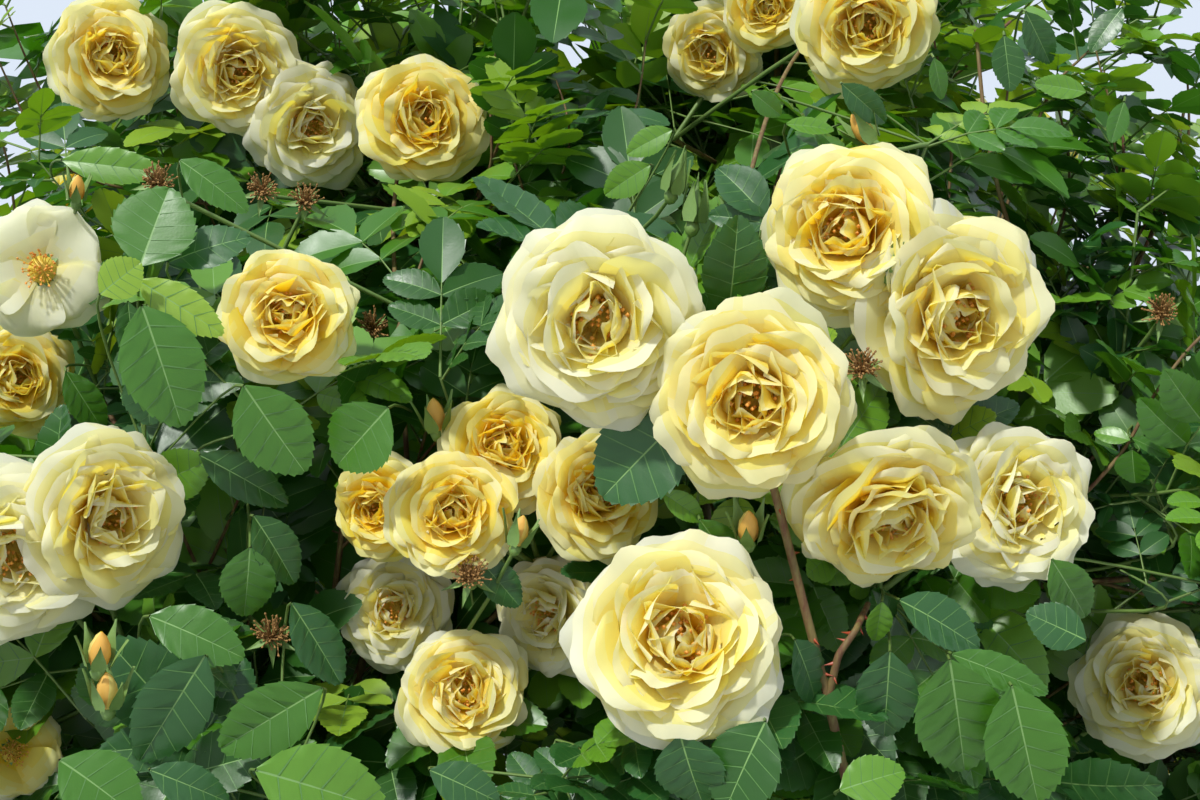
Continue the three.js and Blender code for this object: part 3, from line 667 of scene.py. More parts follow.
def grid_faces(rows, columns, closed=False):
    """Four-cornered faces of a grid of rows x columns corners, closed round its columns for a tube."""
    across = columns if closed else columns - 1
    row, column = np.divmod(np.arange((rows - 1) * across), across)
    nearer, further = row * columns, (row + 1) * columns
    beside = (column + 1) % columns
    return np.stack([nearer + column, nearer + beside, further + beside, further + column], axis=1)


def tubes(paths, radii, sides):
    """Round rods along many paths of the same number of points: copies x corners x 3."""
    ways = unit(np.gradient(paths, axis=1))
    across, _ = squares_to(unit(paths[:, -1] - paths[:, 0]))
    side = unit(across[:, None] - ways * np.sum(across[:, None] * ways, axis=2, keepdims=True))
    other = np.cross(ways, side)
    turn = np.arange(sides) * 2 * math.pi / sides
    ring = side[:, :, None] * np.cos(turn)[:, None] + other[:, :, None] * np.sin(turn)[:, None]
    return (paths[:, :, None] + ring * radii[:, :, None, None]).reshape(len(paths), -1, 3)


def lathe(profile, sides):
    """A form turned round +Z from rows of [out, up]: its corners and its faces."""
    profile = np.asarray(profile, float)
    out, up = profile[:, :1], np.repeat(profile[:, 1:], sides, axis=1)
    turn = np.arange(sides) * 2 * math.pi / sides
    points = np.stack([out * np.cos(turn), out * np.sin(turn), up], axis=2)
    return points.reshape(-1, 3), grid_faces(len(profile), sides, closed=True)


def stood(points, origins, ways, sizes):
    """Copies of a shape round +Z, stood on origins along ways."""
    frames = np.stack([*squares_to(ways), ways], axis=1)
    return origins[:, None] + np.einsum("nvk,nkj->nvj", points[None] * sizes[:, None, None], frames)


# Finishes
def node_group(name, inputs, outputs):
    """A group of nodes with its sockets, from rows of [name, kind, value]."""
    group = bpy.data.node_groups.new(name, "ShaderNodeTree")
    for direction, rows in (("INPUT", inputs), ("OUTPUT", outputs)):
        for label, kind, value in rows:
            socket = group.interface.new_socket(name=label, in_out=direction, socket_type="NodeSocket" + kind)
            if value is not None:
                socket.default_value = value
    return group


def new_nodes(tree, *kinds):
    return [tree.nodes.new(kind if kind.startswith("NodeGroup") else "ShaderNode" + kind) for kind in kinds]


def settle(node, rows):
    for socket, value in rows:
        node.inputs[socket].default_value = value


def wire(tree, rows):
    for source, output, target, entry in rows:
        tree.links.new(source.outputs[output], target.inputs[entry])


def mottle_group():
    """Uneven sheen and fine relief of a living skin: roughness and a normal that change over the surface."""
    group = node_group("living_skin", [
        ("Patch size", "Float", 60.0), ("Smoothest", "Float", 0.3), ("Roughest", "Float", 0.5),
        ("Grain size", "Float", 400.0), ("Grain depth", "Float", 0.2),
    ], [("Roughness", "Float", None), ("Normal", "Vector", None)])
    inputs, outputs, place, patches, grain, spread, bump = new_nodes(
        group, "NodeGroupInput", "NodeGroupOutput", "TexCoord", "TexNoise", "TexNoise", "MapRange", "Bump"
    )
    settle(patches, [("Detail", 2)])
    settle(grain, [("Detail", 2)])
    settle(spread, [("From Min", 0.3), ("From Max", 0.7)])
    settle(bump, [("Distance", 0.0006)])
    wire(group, [
        (place, "Object", patches, "Vector"), (place, "Object", grain, "Vector"),
        (inputs, "Patch size", patches, "Scale"), (inputs, "Grain size", grain, "Scale"),
        (patches, "Fac", spread, "Value"), (inputs, "Smoothest", spread, "To Min"),
        (inputs, "Roughest", spread, "To Max"), (grain, "Fac", bump, "Height"),
        (inputs, "Grain depth", bump, "Strength"),
        (spread, "Result", outputs, "Roughness"), (bump, "Normal", outputs, "Normal"),
    ])
    return group


def bark_group():
    """Lengthwise streaks of bark: a colour, a roughness and a normal."""
    group = node_group("streaked_bark", [
        ("Deep", "Color", (0.1, 0.07, 0.04, 1)), ("Raised", "Color", (0.3, 0.25, 0.15, 1)),
        ("Streak size", "Float", 160.0), ("Relief", "Float", 0.6),
    ], [("Colour", "Color", None), ("Roughness", "Float", None), ("Normal", "Vector", None)])
    inputs, outputs, place, stretch, streaks, ramp, mix, spread, bump = new_nodes(
        group, "NodeGroupInput", "NodeGroupOutput", "TexCoord", "Mapping", "TexNoise", "ValToRGB", "Mix",
        "MapRange", "Bump",
    )
    mix.data_type = "RGBA"
    ramp.color_ramp.elements[0].position = 0.36
    ramp.color_ramp.elements[1].position = 0.64
    settle(stretch, [("Scale", (1, 1, 0.16))])
    settle(streaks, [("Detail", 6), ("Roughness", 0.65)])
    settle(spread, [("To Min", 0.85), ("To Max", 0.55)])
    settle(bump, [("Distance", 0.0012)])
    wire(group, [
        (place, "Object", stretch, "Vector"), (stretch, "Vector", streaks, "Vector"),
        (inputs, "Streak size", streaks, "Scale"), (streaks, "Fac", ramp, "Fac"), (ramp, "Color", mix, "Factor"),
        (inputs, "Deep", mix, "A"), (inputs, "Raised", mix, "B"), (streaks, "Fac", spread, "Value"),
        (streaks, "Fac", bump, "Height"), (inputs, "Relief", bump, "Strength"), (mix, "Result", outputs, "Colour"),
        (spread, "Result", outputs, "Roughness"), (bump, "Normal", outputs, "Normal"),
    ])
    return group


LIVING_SKIN = mottle_group()
STREAKED_BARK = bark_group()


def paint(red, green, blue):
    """A colour as light sees it, from how it looks on a screen of 0 to 255."""
    parts = [part / 255 for part in (red, green, blue)]
    return tuple(p / 12.92 if p <= 0.04045 else ((p + 0.055) / 1.055) ** 2.4 for p in parts) + (1,)


def bare_material(name):
    material = bpy.data.materials.new(name)
    material.use_nodes = True
    return material, material.node_tree, material.node_tree.nodes["Principled BSDF"]


def share_group(tree, shader, group, values, outputs):
    """Lets a shared group of nodes, with values of the material's own, feed its shader."""
    shared = tree.nodes.new("ShaderNodeGroup")
    shared.node_tree = group
    settle(shared, values)
    wire(tree, [(shared, output, shader, entry) for output, entry in outputs])


def skin_material(
    name, colour, smoothest, roughest, patch, grain, depth, glow=None, glow_share=0.0, specular=0.5, wax=0.0
):
    """A thin living skin: its own plain colour, uneven sheen, and light that shines through from behind."""
    material, tree, shader = bare_material(name)
    settle(shader, [
        ("Base Color", paint(*colour)), ("Specular IOR Level", specular), ("Coat Weight", wax), ("Coat Roughness", 0.42),
    ])
    share_group(tree, shader, LIVING_SKIN, [
        ("Patch size", patch), ("Smoothest", smoothest), ("Roughest", roughest), ("Grain size", grain),
        ("Grain depth", depth),
    ], [("Roughness", "Roughness"), ("Normal", "Normal")])
    if glow:
        through, both = new_nodes(tree, "BsdfTranslucent", "MixShader")
        settle(through, [("Color", paint(*glow))])
        settle(both, [("Fac", glow_share)])
        wire(tree, [
            (shader, "BSDF", both, 1), (through, "BSDF", both, 2),
            (both, "Shader", tree.nodes["Material Output"], "Surface"),
        ])
    return material


def bark_material(name, deep, raised, streak, relief):
    material, tree, shader = bare_material(name)
    share_group(tree, shader, STREAKED_BARK, [
        ("Deep", paint(*deep)), ("Raised", paint(*raised)), ("Streak size", streak), ("Relief", relief),
    ], [("Colour", "Base Color"), ("Roughness", "Roughness"), ("Normal", "Normal")])
    return material


# Leaves and petals, from the deepest tone to the palest
LEAF_TONES = [
    skin_material(name, face, 0.32, 0.5, 55, 700, 0.12, glow, 0.26, 0.5, 0.32)
    for name, face, glow in (
        ("leaf_deep_green", (38, 84, 20), (72, 138, 12)),
        ("leaf_blue_green", (42, 88, 38), (70, 136, 24)),
        ("leaf_mid_green", (60, 110, 22), (104, 164, 12)),
        ("leaf_fresh_green", (90, 138, 32), (140, 184, 16)),
        ("leaf_young_green", (126, 160, 42), (168, 198, 26)),
    )
]
LEAF_RIB = skin_material("leaf_rib", (106, 142, 76), 0.4, 0.55, 55, 500, 0.1)
LEAF_VEIN = skin_material("leaf_vein", (78, 120, 56), 0.36, 0.5, 55, 500, 0.1)
PETAL_LOOKS = (
    ("deep_gold", (248, 206, 24)),
    ("gold", (248, 218, 44)),
    ("warm_yellow", (246, 227, 72)),
    ("yellow", (243, 232, 108)),
    ("soft_yellow", (242, 235, 136)),
    ("pale_yellow", (241, 237, 160)),
    ("butter", (240, 237, 182)),
    ("cream", (239, 237, 200)),
    ("light_cream", (238, 237, 216)),
)
PETAL_TONES = [
    skin_material(f"petal_{name}", face, 0.42, 0.62, 90, 260, 0.14, PETAL_LOOKS[max(0, i - 3)][1], 0.5, 0.3)
    for i, (name, face) in enumerate(PETAL_LOOKS)
]
STAMEN_TONES = [
    skin_material("stamen_thread", (248, 222, 96), 0.5, 0.7, 90, 500, 0.2, (248, 214, 72), 0.45),
    skin_material("stamen_tawny", (246, 186, 92), 0.6, 0.8, 90, 700, 0.3, (246, 180, 80), 0.4),
    skin_material("stamen_dried", (150, 112, 62), 0.7, 0.9, 90, 700, 0.4),
]
APRICOT = skin_material("bud_apricot", (232, 184, 92), 0.42, 0.6, 90, 260, 0.14, (238, 170, 40), 0.3, 0.3)
GREEN_STEM = skin_material("green_stem", (96, 122, 58), 0.4, 0.6, 80, 420, 0.3)
RED_STEM = bark_material("reddish_stem", (92, 56, 36), (116, 104, 56), 240, 0.3)
CALYX = skin_material("calyx_green", (104, 134, 66), 0.45, 0.65, 80, 420, 0.3)
PRICKLE = skin_material("prickle_red", (150, 66, 40), 0.35, 0.5, 90, 300, 0.2)
CANE_BARK = bark_material("cane_bark", (78, 62, 38), (122, 108, 66), 170, 0.7)
OLD_BARK = bark_material("old_bark", (70, 54, 38), (138, 118, 90), 110, 1.0)


# Camera, light and floor
def set_the_stage():
    scene = bpy.context.scene
    lens = bpy.data.cameras.new("view")
    lens.sensor_width = 36
    lens.lens = lens.sensor_width * VIEW_REACH / (2 * VIEW_MIDDLE[0])
    scene.camera = placed("view", lens)
    scene.camera.location = EYE * MM
    scene.camera.rotation_euler = (math.radians(90) + EYE_PITCH, 0, 0)

    sun = bpy.data.lights.new("key", "SUN")
    sun.energy, sun.angle, sun.color = 4.1, math.radians(4), (1, 0.995, 0.96)
    placed("key", sun).rotation_euler = (SUN_TILT, 0, SUN_TURN)

    world = bpy.data.worlds.new("pale_room")
    world.use_nodes = True
    settle(world.node_tree.nodes["Background"], [("Color", (0.78, 0.87, 1, 1)), ("Strength", 0.95)])
    scene.world = world
    scene.view_settings.view_transform = "Standard"

    bpy.ops.mesh.primitive_plane_add(size=14)
    floor = bpy.context.object
    floor.name = "pale_floor"
    material, _, shader = bare_material("pale_floor")
    settle(shader, [("Base Color", (0.5, 0.5, 0.49, 1)), ("Roughness", 0.9)])
    floor.data.materials.append(material)


set_the_stage()


# Shoots: leafy twigs by the rule of the solids, then side shoots on them
def room_along(mass, root, way, most, margin=30, step=10):
    points = root + way * np.arange(step, most + step, step)[:, None]
    fits = in_own_space([mass["number"]] * len(points), points, margin) & inside_crown(points, 24)
    return step * (len(points) if fits.all() else int(np.argmin(fits)))


def bent(root, way, reach, lift, steps=6):
    """A shoot's path, lifted towards the light as it goes."""
    share = np.linspace(0, 1, steps)[:, None]
    return root + way * reach * share + UP * lift * reach * share**2


def shoots_of(mass):
    number = mass["number"]
    across, along = square_to(mass["lead"])
    roll = dice(2000 + number)
    shoots = []
    for i in range(FIRST_TWIGS):
        turn = i * GOLDEN_TURN + number
        forward = 0.98 + (-0.45 - 0.98) * (i + 0.5) / FIRST_TWIGS
        aside = math.sqrt(1 - forward * forward)
        way = blend((mass["lead"], forward), (across, aside * math.cos(turn)), (along, aside * math.sin(turn)))
        root = mass["foot"] + (mass["heart"] - mass["foot"]) * (1 - 0.6 * i / FIRST_TWIGS)
        reach = room_along(mass, root, way, TWIG_LONGEST, margin=12)
        path = bent(root, way, reach, 0.06)
        if reach < 70 or not ROOM.clear(path[1:], TWIG_ROOT + 2, number, ("stalk",), HINDRANCES).all():
            continue
        shoots.append({"path": path, "radius": (TWIG_ROOT, TWIG_TIP), "from": 0.25, "mass": number})
    heart = mass["heart"]
    carriers = [(shoot["path"], SIDE_SHOOTS, shoot) for shoot in shoots]
    carriers += [(np.array([heart, cluster["fork"]]), (0.35, 0.65, 0.9), None) for cluster in mass["clusters"]]
    carriers.append((np.array([heart, mass["core"]]), (0.3, 0.6, 0.9), None))
    for path, shares, parent in carriers:
        main = unit(path[-1] - path[0])
        side, other = square_to(main)
        reach = length(path[-1] - path[0])
        for share in shares:
            turn = roll() * 2 * math.pi
            place = share * (len(path) - 1)
            k = min(int(place), len(path) - 2)
            root = path[k] + (path[k + 1] - path[k]) * (place - k)
            outside = unit(root - CENTRE)
            way = blend((main, 0.5), (side, math.cos(turn)), (other, math.sin(turn)), (outside, 0.5), (UP, 0.15))
            most = 60 + 80 * roll() * min(1, reach / 180)
            side_reach = room_along(mass, root, way, most, margin=-10)
            if side_reach < 30:
                continue
            twig = bent(root, way, side_reach, 0.1, 4)
            if ROOM.clear(twig[1:], 3, number, ("stalk",), HINDRANCES).all():
                shoots.append({
                    "path": twig, "radius": (SIDE_ROOT, SIDE_TIP), "from": 0.2, "mass": number, "parent": parent,
                    "at": share,
                })
    return shoots


def along_path(path, shares):
    """Points on a path at shares of its length, with the way it goes there."""
    place = np.asarray(shares) * (len(path) - 1)
    k = np.minimum(place.astype(int), len(path) - 2)
    step = path[k + 1] - path[k]
    return path[k] + step * (place - k)[:, None], unit(step)


def stalk_path(fork, back, face):
    """A flower's stalk: out of its fork, round behind the petals, then on to the flower's back."""
    reach = length(back - fork)
    ahead = max(0, np.dot(fork - back, face) + 0.35 * reach)
    leaving = fork + unit(back - fork) * reach * 0.4 - face * 1.1 * ahead + UP * reach * 0.03
    arriving = back - face * (reach * 0.32 + 0.3 * ahead)
    return cubic((fork, leaving, arriving, back), np.linspace(0, 1, 6)[:, None])


def smoothed(points, steps):
    """A rounded path through points."""
    places = np.linspace(0, len(points) - 1, steps)
    path = np.stack([np.interp(places, np.arange(len(points)), points[:, k]) for k in range(3)], axis=1)
    for _ in range(4):
        path[1:-1] = (path[:-2] + path[1:-1] * 2 + path[2:]) / 4
    return path


def seen_shoots():
    """The leafy shoots seen at the front, each rooted at the heart of the nearest mass."""
    shoots = []
    for row in FRONT_SHOOTS:
        points = seen_places(row)
        number = nearest(HEARTS, points[0])
        path = smoothed(np.concatenate([HEARTS[number : number + 1], points]), 12)
        shoots.append({"path": path, "radius": (1.4, 0.6), "from": 0.3, "mass": number, "whole": True, "seen": True})
    return shoots


def stem_path(heart, fork):
    """The stem of a cluster, bent away from the eye where it would pass before a flower of the front."""
    path = bent(heart, unit(fork - heart), length(fork - heart), 0)
    share = np.linspace(0, 1, len(path))[:, None]
    sag = 24 * share * (1 - share)
    x, y, far = seen_at([flower["centre"] for flower in FRONT_FLOWERS])
    width = np.array([flower["width"] for flower in FRONT_FLOWERS])
    for _ in range(20):
        across, down, ahead = (part[:, None] for part in seen_at(along_path(path, np.linspace(0.5, 1, 26))[0]))
        beside = np.hypot(across - x, down - y) * far / VIEW_REACH
        if not ((beside < 0.45 * width) & (ahead > 0) & (ahead < far + 0.25 * width)).any():
            break
        path = path + unit(path - EYE) * sag
    return path


SHOOTS = [shoot for mass in MASSES for shoot in shoots_of(mass)] + seen_shoots()
STALKS = []
for mass in MASSES:
    number = mass["number"]
    for cluster in mass["clusters"]:
        path = stem_path(mass["heart"], cluster["fork"])
        SHOOTS.append({"path": path, "radius": (TWIG_ROOT, STALK_ROOT), "from": 0.3, "mass": number, "whole": True})
        for flower in cluster["flowers"]:
            stalk = stalk_path(cluster["fork"], flower["back"], flower["face"])
            STALKS.append({"path": stalk, "radius": (STALK_ROOT, STALK_TIP), "mass": number})


# Leaves: each a midrib with five or seven leaflets
def leaf_nodes():
    """Where leaves stand along the shoots and the flower stalks, in columns, as grow_leaves takes them."""
    carriers = SHOOTS + [dict(stalk, **{"from": 0.12, "to": 0.62}) for stalk in STALKS]
    on_the_way = np.linspace(0.04, 1, 25)
    places = np.concatenate([along_path(shoot["path"], on_the_way)[0] for shoot in carriers])
    open_way = ROOM.clear(places, 1, ANY_OWNER, kinds=("flower",)).reshape(-1, len(on_the_way))
    stops = np.where(open_way.all(axis=1), 2, on_the_way[np.argmin(open_way, axis=1)])
    rows = []
    for spray, shoot in enumerate(carriers):
        roll = dice(4000 + spray)
        path = shoot["path"]
        reach = length(path[-1] - path[0])
        first, last = shoot["from"] * reach, shoot.get("to", 1) * reach
        across, down, _ = seen_at(path[-1])
        crowded = across[0] > 860 and down[0] < 560 and path[-1][1] < 0
        step = NODE_STEP * (0.9 + 0.3 * roll()) * (0.7 if crowded else 1)
        shares = np.arange(first, last + 1, step) / max(reach, 1)
        if "to" not in shoot:
            shares = np.append(shares, 1.0)
        shares = shares[shares <= 1]
        at, way = along_path(path, shares)
        start = roll() * 2 * math.pi
        turns = [start + i * NODE_TURN + (roll() - 0.5) * 0.7 for i in range(len(shares))]
        told = [np.full(len(shares), value) for value in (shoot["mass"], spray, "seen" in shoot)]
        rows.append((at, way, np.array(turns, float), shares, shares >= stops[spray], *told))
    return [np.concatenate(column) for column in zip(*rows)]


def culled(points, chance):
    """Which leaves deep inside the crown are left out, because hardly any light would reach them."""
    out = np.hypot(points[:, 0], points[:, 1])
    depth = reach_at(points[:, 2], np.arctan2(points[:, 1], points[:, 0])) - out
    depth = np.minimum(depth, (HEIGHT - points[:, 2]) * 1.2)
    front = (points[:, 1] < 120) & (points[:, 2] > 480)
    return (depth > 260) & (chance < np.where(front, 0.5, 0.66)) | (depth > 190) & (chance < 0.1) & ~front


def grow_leaves():
    points, ways, turns, young, stopped, numbers, sprays, free = leaf_nodes()
    rng = np.random.default_rng(11)
    count = len(points)
    across, along = squares_to(ways)
    outside = unit(points - CENTRE)
    size = LEAF_LENGTH * (0.72 + 0.36 * rng.random(count)) * np.where(young > 0.9, 0.8, 1)
    size *= np.where(free, 0.72, 1) * np.where(points[:, 1] > 150, 1.08, 1)
    size *= 1 - 0.26 * np.clip((points[:, 0] - 140) / 160, 0, 1) * np.clip((points[:, 2] - 820) / 120, 0, 1)
    droop = 0.08 + 0.22 * rng.random(count)
    jitter = rng.normal(0, 0.3, (count, 3))
    settled = np.zeros(count, bool)
    way, face = np.zeros((2, count, 3))
    for tries in range(4):
        turn = (turns + tries * math.pi / 2)[:, None]
        spread = unit(ways * 0.42 + across * np.cos(turn) + along * np.sin(turn) + outside * 0.42 + UP * 0.1)
        up_side = unit(outside * 0.9 + UP * 0.75 + ways * 0.25 + jitter)
        side = unit(np.cross(up_side, spread))
        tests = [
            points + (spread * share + side * aside) * size[:, None] - UP * (droop * share**2 * size)[:, None]
            for share, aside in ((0.4, 0), (0.7, 0.28), (0.7, -0.28), (1.0, 0))
        ]
        x, y, ahead = seen_at(tests[-1])
        fits = (ahead > LEAF_NEAREST) | ~in_view(x, y, 100)
        for test in tests:
            fits &= inside_crown(test, -14) & in_own_space(numbers, test, -30) | free
        index = np.flatnonzero(fits & ~settled)
        stack = np.concatenate([test[index] for test in tests])
        unhindered = ROOM.clear(stack, 1.5, ANY_OWNER, kinds=HINDRANCES).reshape(len(tests), -1).all(axis=0)
        index = index[unhindered]
        settled[index] = True
        way[index], face[index] = spread[index], up_side[index]
    x, y, _ = seen_at(points + way * 0.6 * size[:, None])
    for middle_x, middle_y, half_width, half_height in SKY_WINDOWS:
        settled &= ((x - middle_x) / half_width) ** 2 + ((y - middle_y) / half_height) ** 2 > 1
    settled &= (free | ~culled(points, rng.random(count))) & ~stopped
    keep = np.flatnonzero(settled)
    tone = np.array([int(3.2 * dice(6000 + int(s))()) for s in sprays[keep]])
    high = points[keep, 2] > 1300
    fresh = rng.random(len(keep)) < np.where(high, 0.4, 0.14) + 0.25 * (young[keep] > 0.9)
    tone = np.where(fresh, 3 + (rng.random(len(keep)) < 0.35), tone)
    return {
        "base": points[keep], "way": way[keep], "face": face[keep], "size": size[keep], "droop": droop[keep],
        "tone": tone, "seven": rng.random(len(keep)) < 0.22, "spray": sprays[keep], "share": young[keep],
    }


def cut_back(shoots, leaves):
    """Each shoot as far as its last leaf or side shoot; bare ones are left out."""
    furthest = {}
    for spray, share in zip(leaves["spray"], leaves["share"]):
        furthest[int(spray)] = max(furthest.get(int(spray), 0), share)
    reach = {id(shoot): furthest.get(i, 0) for i, shoot in enumerate(shoots)}
    for shoot in shoots:
        parent = shoot.get("parent")
        if parent is not None and reach[id(shoot)] > 0:
            reach[id(parent)] = max(reach[id(parent)], shoot["at"])
    kept = []
    for shoot in shoots:
        share = 1 if shoot.get("whole") else min(1, reach[id(shoot)])
        if share > 0:
            path, _ = along_path(shoot["path"], np.linspace(0, share, len(shoot["path"])))
            kept.append({**shoot, "path": path})
    return kept


def leaf_edge(x):
    """Half the width of a leaflet a unit wide: fullest before the middle, drawn out to a point."""
    return 0.52 * np.sin(math.pi * np.clip(x, 0, 1) ** 0.74) ** 0.8 * (1 - 0.3 * x**2)


def plain_blade():
    """A far leaflet a unit long and a unit wide, along +X with its upper face to +Z, of six faces."""
    rim = [[x, side * leaf_edge(x) * 1.04, 0] for side in (-1, 1) for x in (0.26, 0.66)]
    faces = [[4, 6, 0], [0, 6, 1], [1, 6, 5], [4, 2, 6], [2, 3, 6], [3, 5, 6]]
    return np.array(rim + [[0, 0, 0], [1, 0, 0], [0.46, 0, 0]], float), np.array(faces)


def blade(steps, quilted):
    """A nearer leaflet: toothed edge, pale rib, and for the nearest a quilt of side veins.

    Gives the corners and faces of its skin with what is rib, then those of its teeth and of its veins.
    """
    x = np.linspace(0, 1, steps + 1)
    body = np.sin(math.pi * x)
    half = np.maximum(leaf_edge(x), np.where(x > 0.5, 0.008, 0.03))
    puff = 0.034 * np.where(np.arange(steps + 1) % 2, 1, -0.7) * body**0.5
    lead = 0.14 * body**0.6
    rib = np.minimum(0.014 * (1 - 0.75 * x), half * 0.4)
    strips = [(lead, half, 0.3 * puff)]
    if quilted:
        strips.append((0.5 * lead, 0.5 * half, puff + 0.012 * body))
    strips.append((0 * x, rib, -0.01 + 0 * x))
    sides = [[np.stack([x + ahead, hand * wide, rise], 1) for ahead, wide, rise in strips] for hand in (-1, 1)]
    columns = sides[0] + sides[1][::-1]
    width = len(columns)
    points = np.stack(columns, axis=1).reshape(-1, 3)
    faces = grid_faces(steps + 1, width)[:, ::-1]
    is_rib = np.arange(len(faces)) % (width - 1) == width // 2 - 1
    teeth, veins = [], []
    for hand, edge in ((-1, sides[0][0]), (1, sides[1][0])):
        for start, end in zip(edge[:-1], edge[1:]):
            point = start + (end - start) * 0.95 + vec(0.01, hand * 0.032, 0)
            teeth.append([start, end, point][:: hand])
    for hand, side in zip((-1, 1), sides if quilted else ()):
        for i in range(2, steps - 1, 2):
            for step, thick in ((1, 0.007), (0, 0.005)):
                start, end, wide = side[step + 1][i], side[step][i], vec(thick, 0, 0)
                veins.append([start - wide, start + wide, end + wide / 2, end - wide / 2][:: hand])
    teeth, veins = np.array(teeth), np.array(veins).reshape(-1, 4, 3) + vec(0, 0, 0.006)
    parts = [(part.reshape(-1, 3), np.arange(part[..., 0].size).reshape(part.shape[:2])) for part in (teeth, veins)]
    return points, faces, is_rib, *parts


def shaped(points, length_mm, width_mm, fold, droop, curl, twist):
    """Copies of a unit leaflet with their own size, fold along the rib, droop and curl."""
    x, y, z = (points[None, :, i] for i in range(3))
    far, wide = length_mm[:, None], width_mm[:, None]
    across = y * wide
    rise = z * far + fold[:, None] * np.abs(across) - droop[:, None] * far * x**2
    rise = rise - curl[:, None] * wide * (2 * y) ** 2 * 0.25 + twist[:, None] * across * x
    return np.stack([x * far * (1 - 0.3 * droop[:, None] ** 2 * x), across, rise], axis=2)


def laid(shape, origin, way, up_side):
    """Shapes along +X with faces to +Z, laid at origins along ways with their upper sides up."""
    side = unit(np.cross(up_side, way))
    normal = np.cross(way, side)
    frames = np.stack([way, side, normal], axis=1)
    return origin[:, None] + np.einsum("nvk,nkj->nvj", shape, frames)


def leaflets_of(leaves):
    """Every leaflet of the leaves: where it starts, its way, its upper side, its size and the leaf it belongs to."""
    rng = np.random.default_rng(12)
    base, way, droop, size = leaves["base"], leaves["way"], leaves["droop"], leaves["size"]
    side = unit(np.cross(leaves["face"], way))
    ribs = RIB_SHARE * size
    every = np.arange(len(base))

    def rib_at(share):
        at = base + way * (ribs * share)[:, None] - UP * (droop * ribs * share**2)[:, None]
        return at, unit(way - UP * (2 * droop * share)[:, None])

    rows = []
    for share, part, has in ((0.84, 0.37, every), (0.5, 0.33, every), (0.2, 0.25, np.flatnonzero(leaves["seven"]))):
        at, forward = rib_at(share)
        for hand in (-1, 1):
            spread = np.radians(52 + 14 * rng.random(len(base)))[:, None]
            out = forward * np.cos(spread) + side * hand * np.sin(spread)
            normal = unit(np.cross(forward, side) - side * hand * 0.22 + rng.normal(0, 0.16, base.shape))
            rows.append((has, at, unit(out), normal, size * part * (0.92 + 0.16 * rng.random(len(base)))))
    at, forward = rib_at(1.0)
    normal = unit(np.cross(forward, side) + rng.normal(0, 0.14, base.shape))
    rows.append((every, at, forward, normal, size * 0.44 * (0.94 + 0.14 * rng.random(len(base)))))
    made = [np.concatenate([row[i][row[0]] for row in rows]) for i in range(1, 5)]
    return made + [np.concatenate([row[0] for row in rows])]


def front_leaflets(carriers):
    """The leaflets that were seen one by one at the front, each with a short stalk back to the nearest shoot."""
    rng = np.random.default_rng(17)
    start = np.array([seen_place(row[0], row[1], row[4]) for row in FRONT_LEAFLETS])
    end = np.array([seen_place(row[2], row[3], row[4] + rng.uniform(-6, 14)) for row in FRONT_LEAFLETS])
    ways = unit(end - start)
    face = unit(unit(EYE - start) + UP * 0.35 + rng.normal(0, 0.2, start.shape))
    far = np.linalg.norm(end - start, axis=1)
    wide = far * np.array([row[5] for row in FRONT_LEAFLETS])
    count = len(far)
    tones = np.array([row[6] for row in FRONT_LEAFLETS])
    fold, droop, curl = (rng.uniform(*ends, count) for ends in ((0.05, 0.25), (0.04, 0.2), (0, 0.2)))
    twist = rng.normal(0, 0.1, count)
    close, near = np.ones(count, bool), np.zeros(count, bool)
    rows = (start, ways, face, far, wide, fold, droop, curl, twist, tones, close, near)
    roots = np.array([nearest_carrier(place, carriers) for place in start])
    share = np.linspace(0, 1, 6)[None, :, None]
    reach = np.linalg.norm(start - roots, axis=1)[:, None, None]
    bend = start[:, None] + unit(start - EYE)[:, None] * np.maximum(24, 0.7 * reach) - ways[:, None] * 10
    return rows, roots[:, None] * (1 - share) ** 2 + 2 * bend * share * (1 - share) + start[:, None] * share**2


def foremost(across, down, ahead, cell):
    """How many others of the same small window of the view stand before each one."""
    window = np.floor(across / cell).astype(int) * 1000 + np.floor(down / cell).astype(int)
    order = np.lexsort((np.where(ahead > 0, ahead, 1e9), window))
    starts = np.flatnonzero(np.diff(window[order], prepend=window[order][0] - 1))
    rank = np.empty(len(order), int)
    rank[order] = np.arange(len(order)) - np.repeat(starts, np.diff(np.append(starts, len(order))))
    return rank


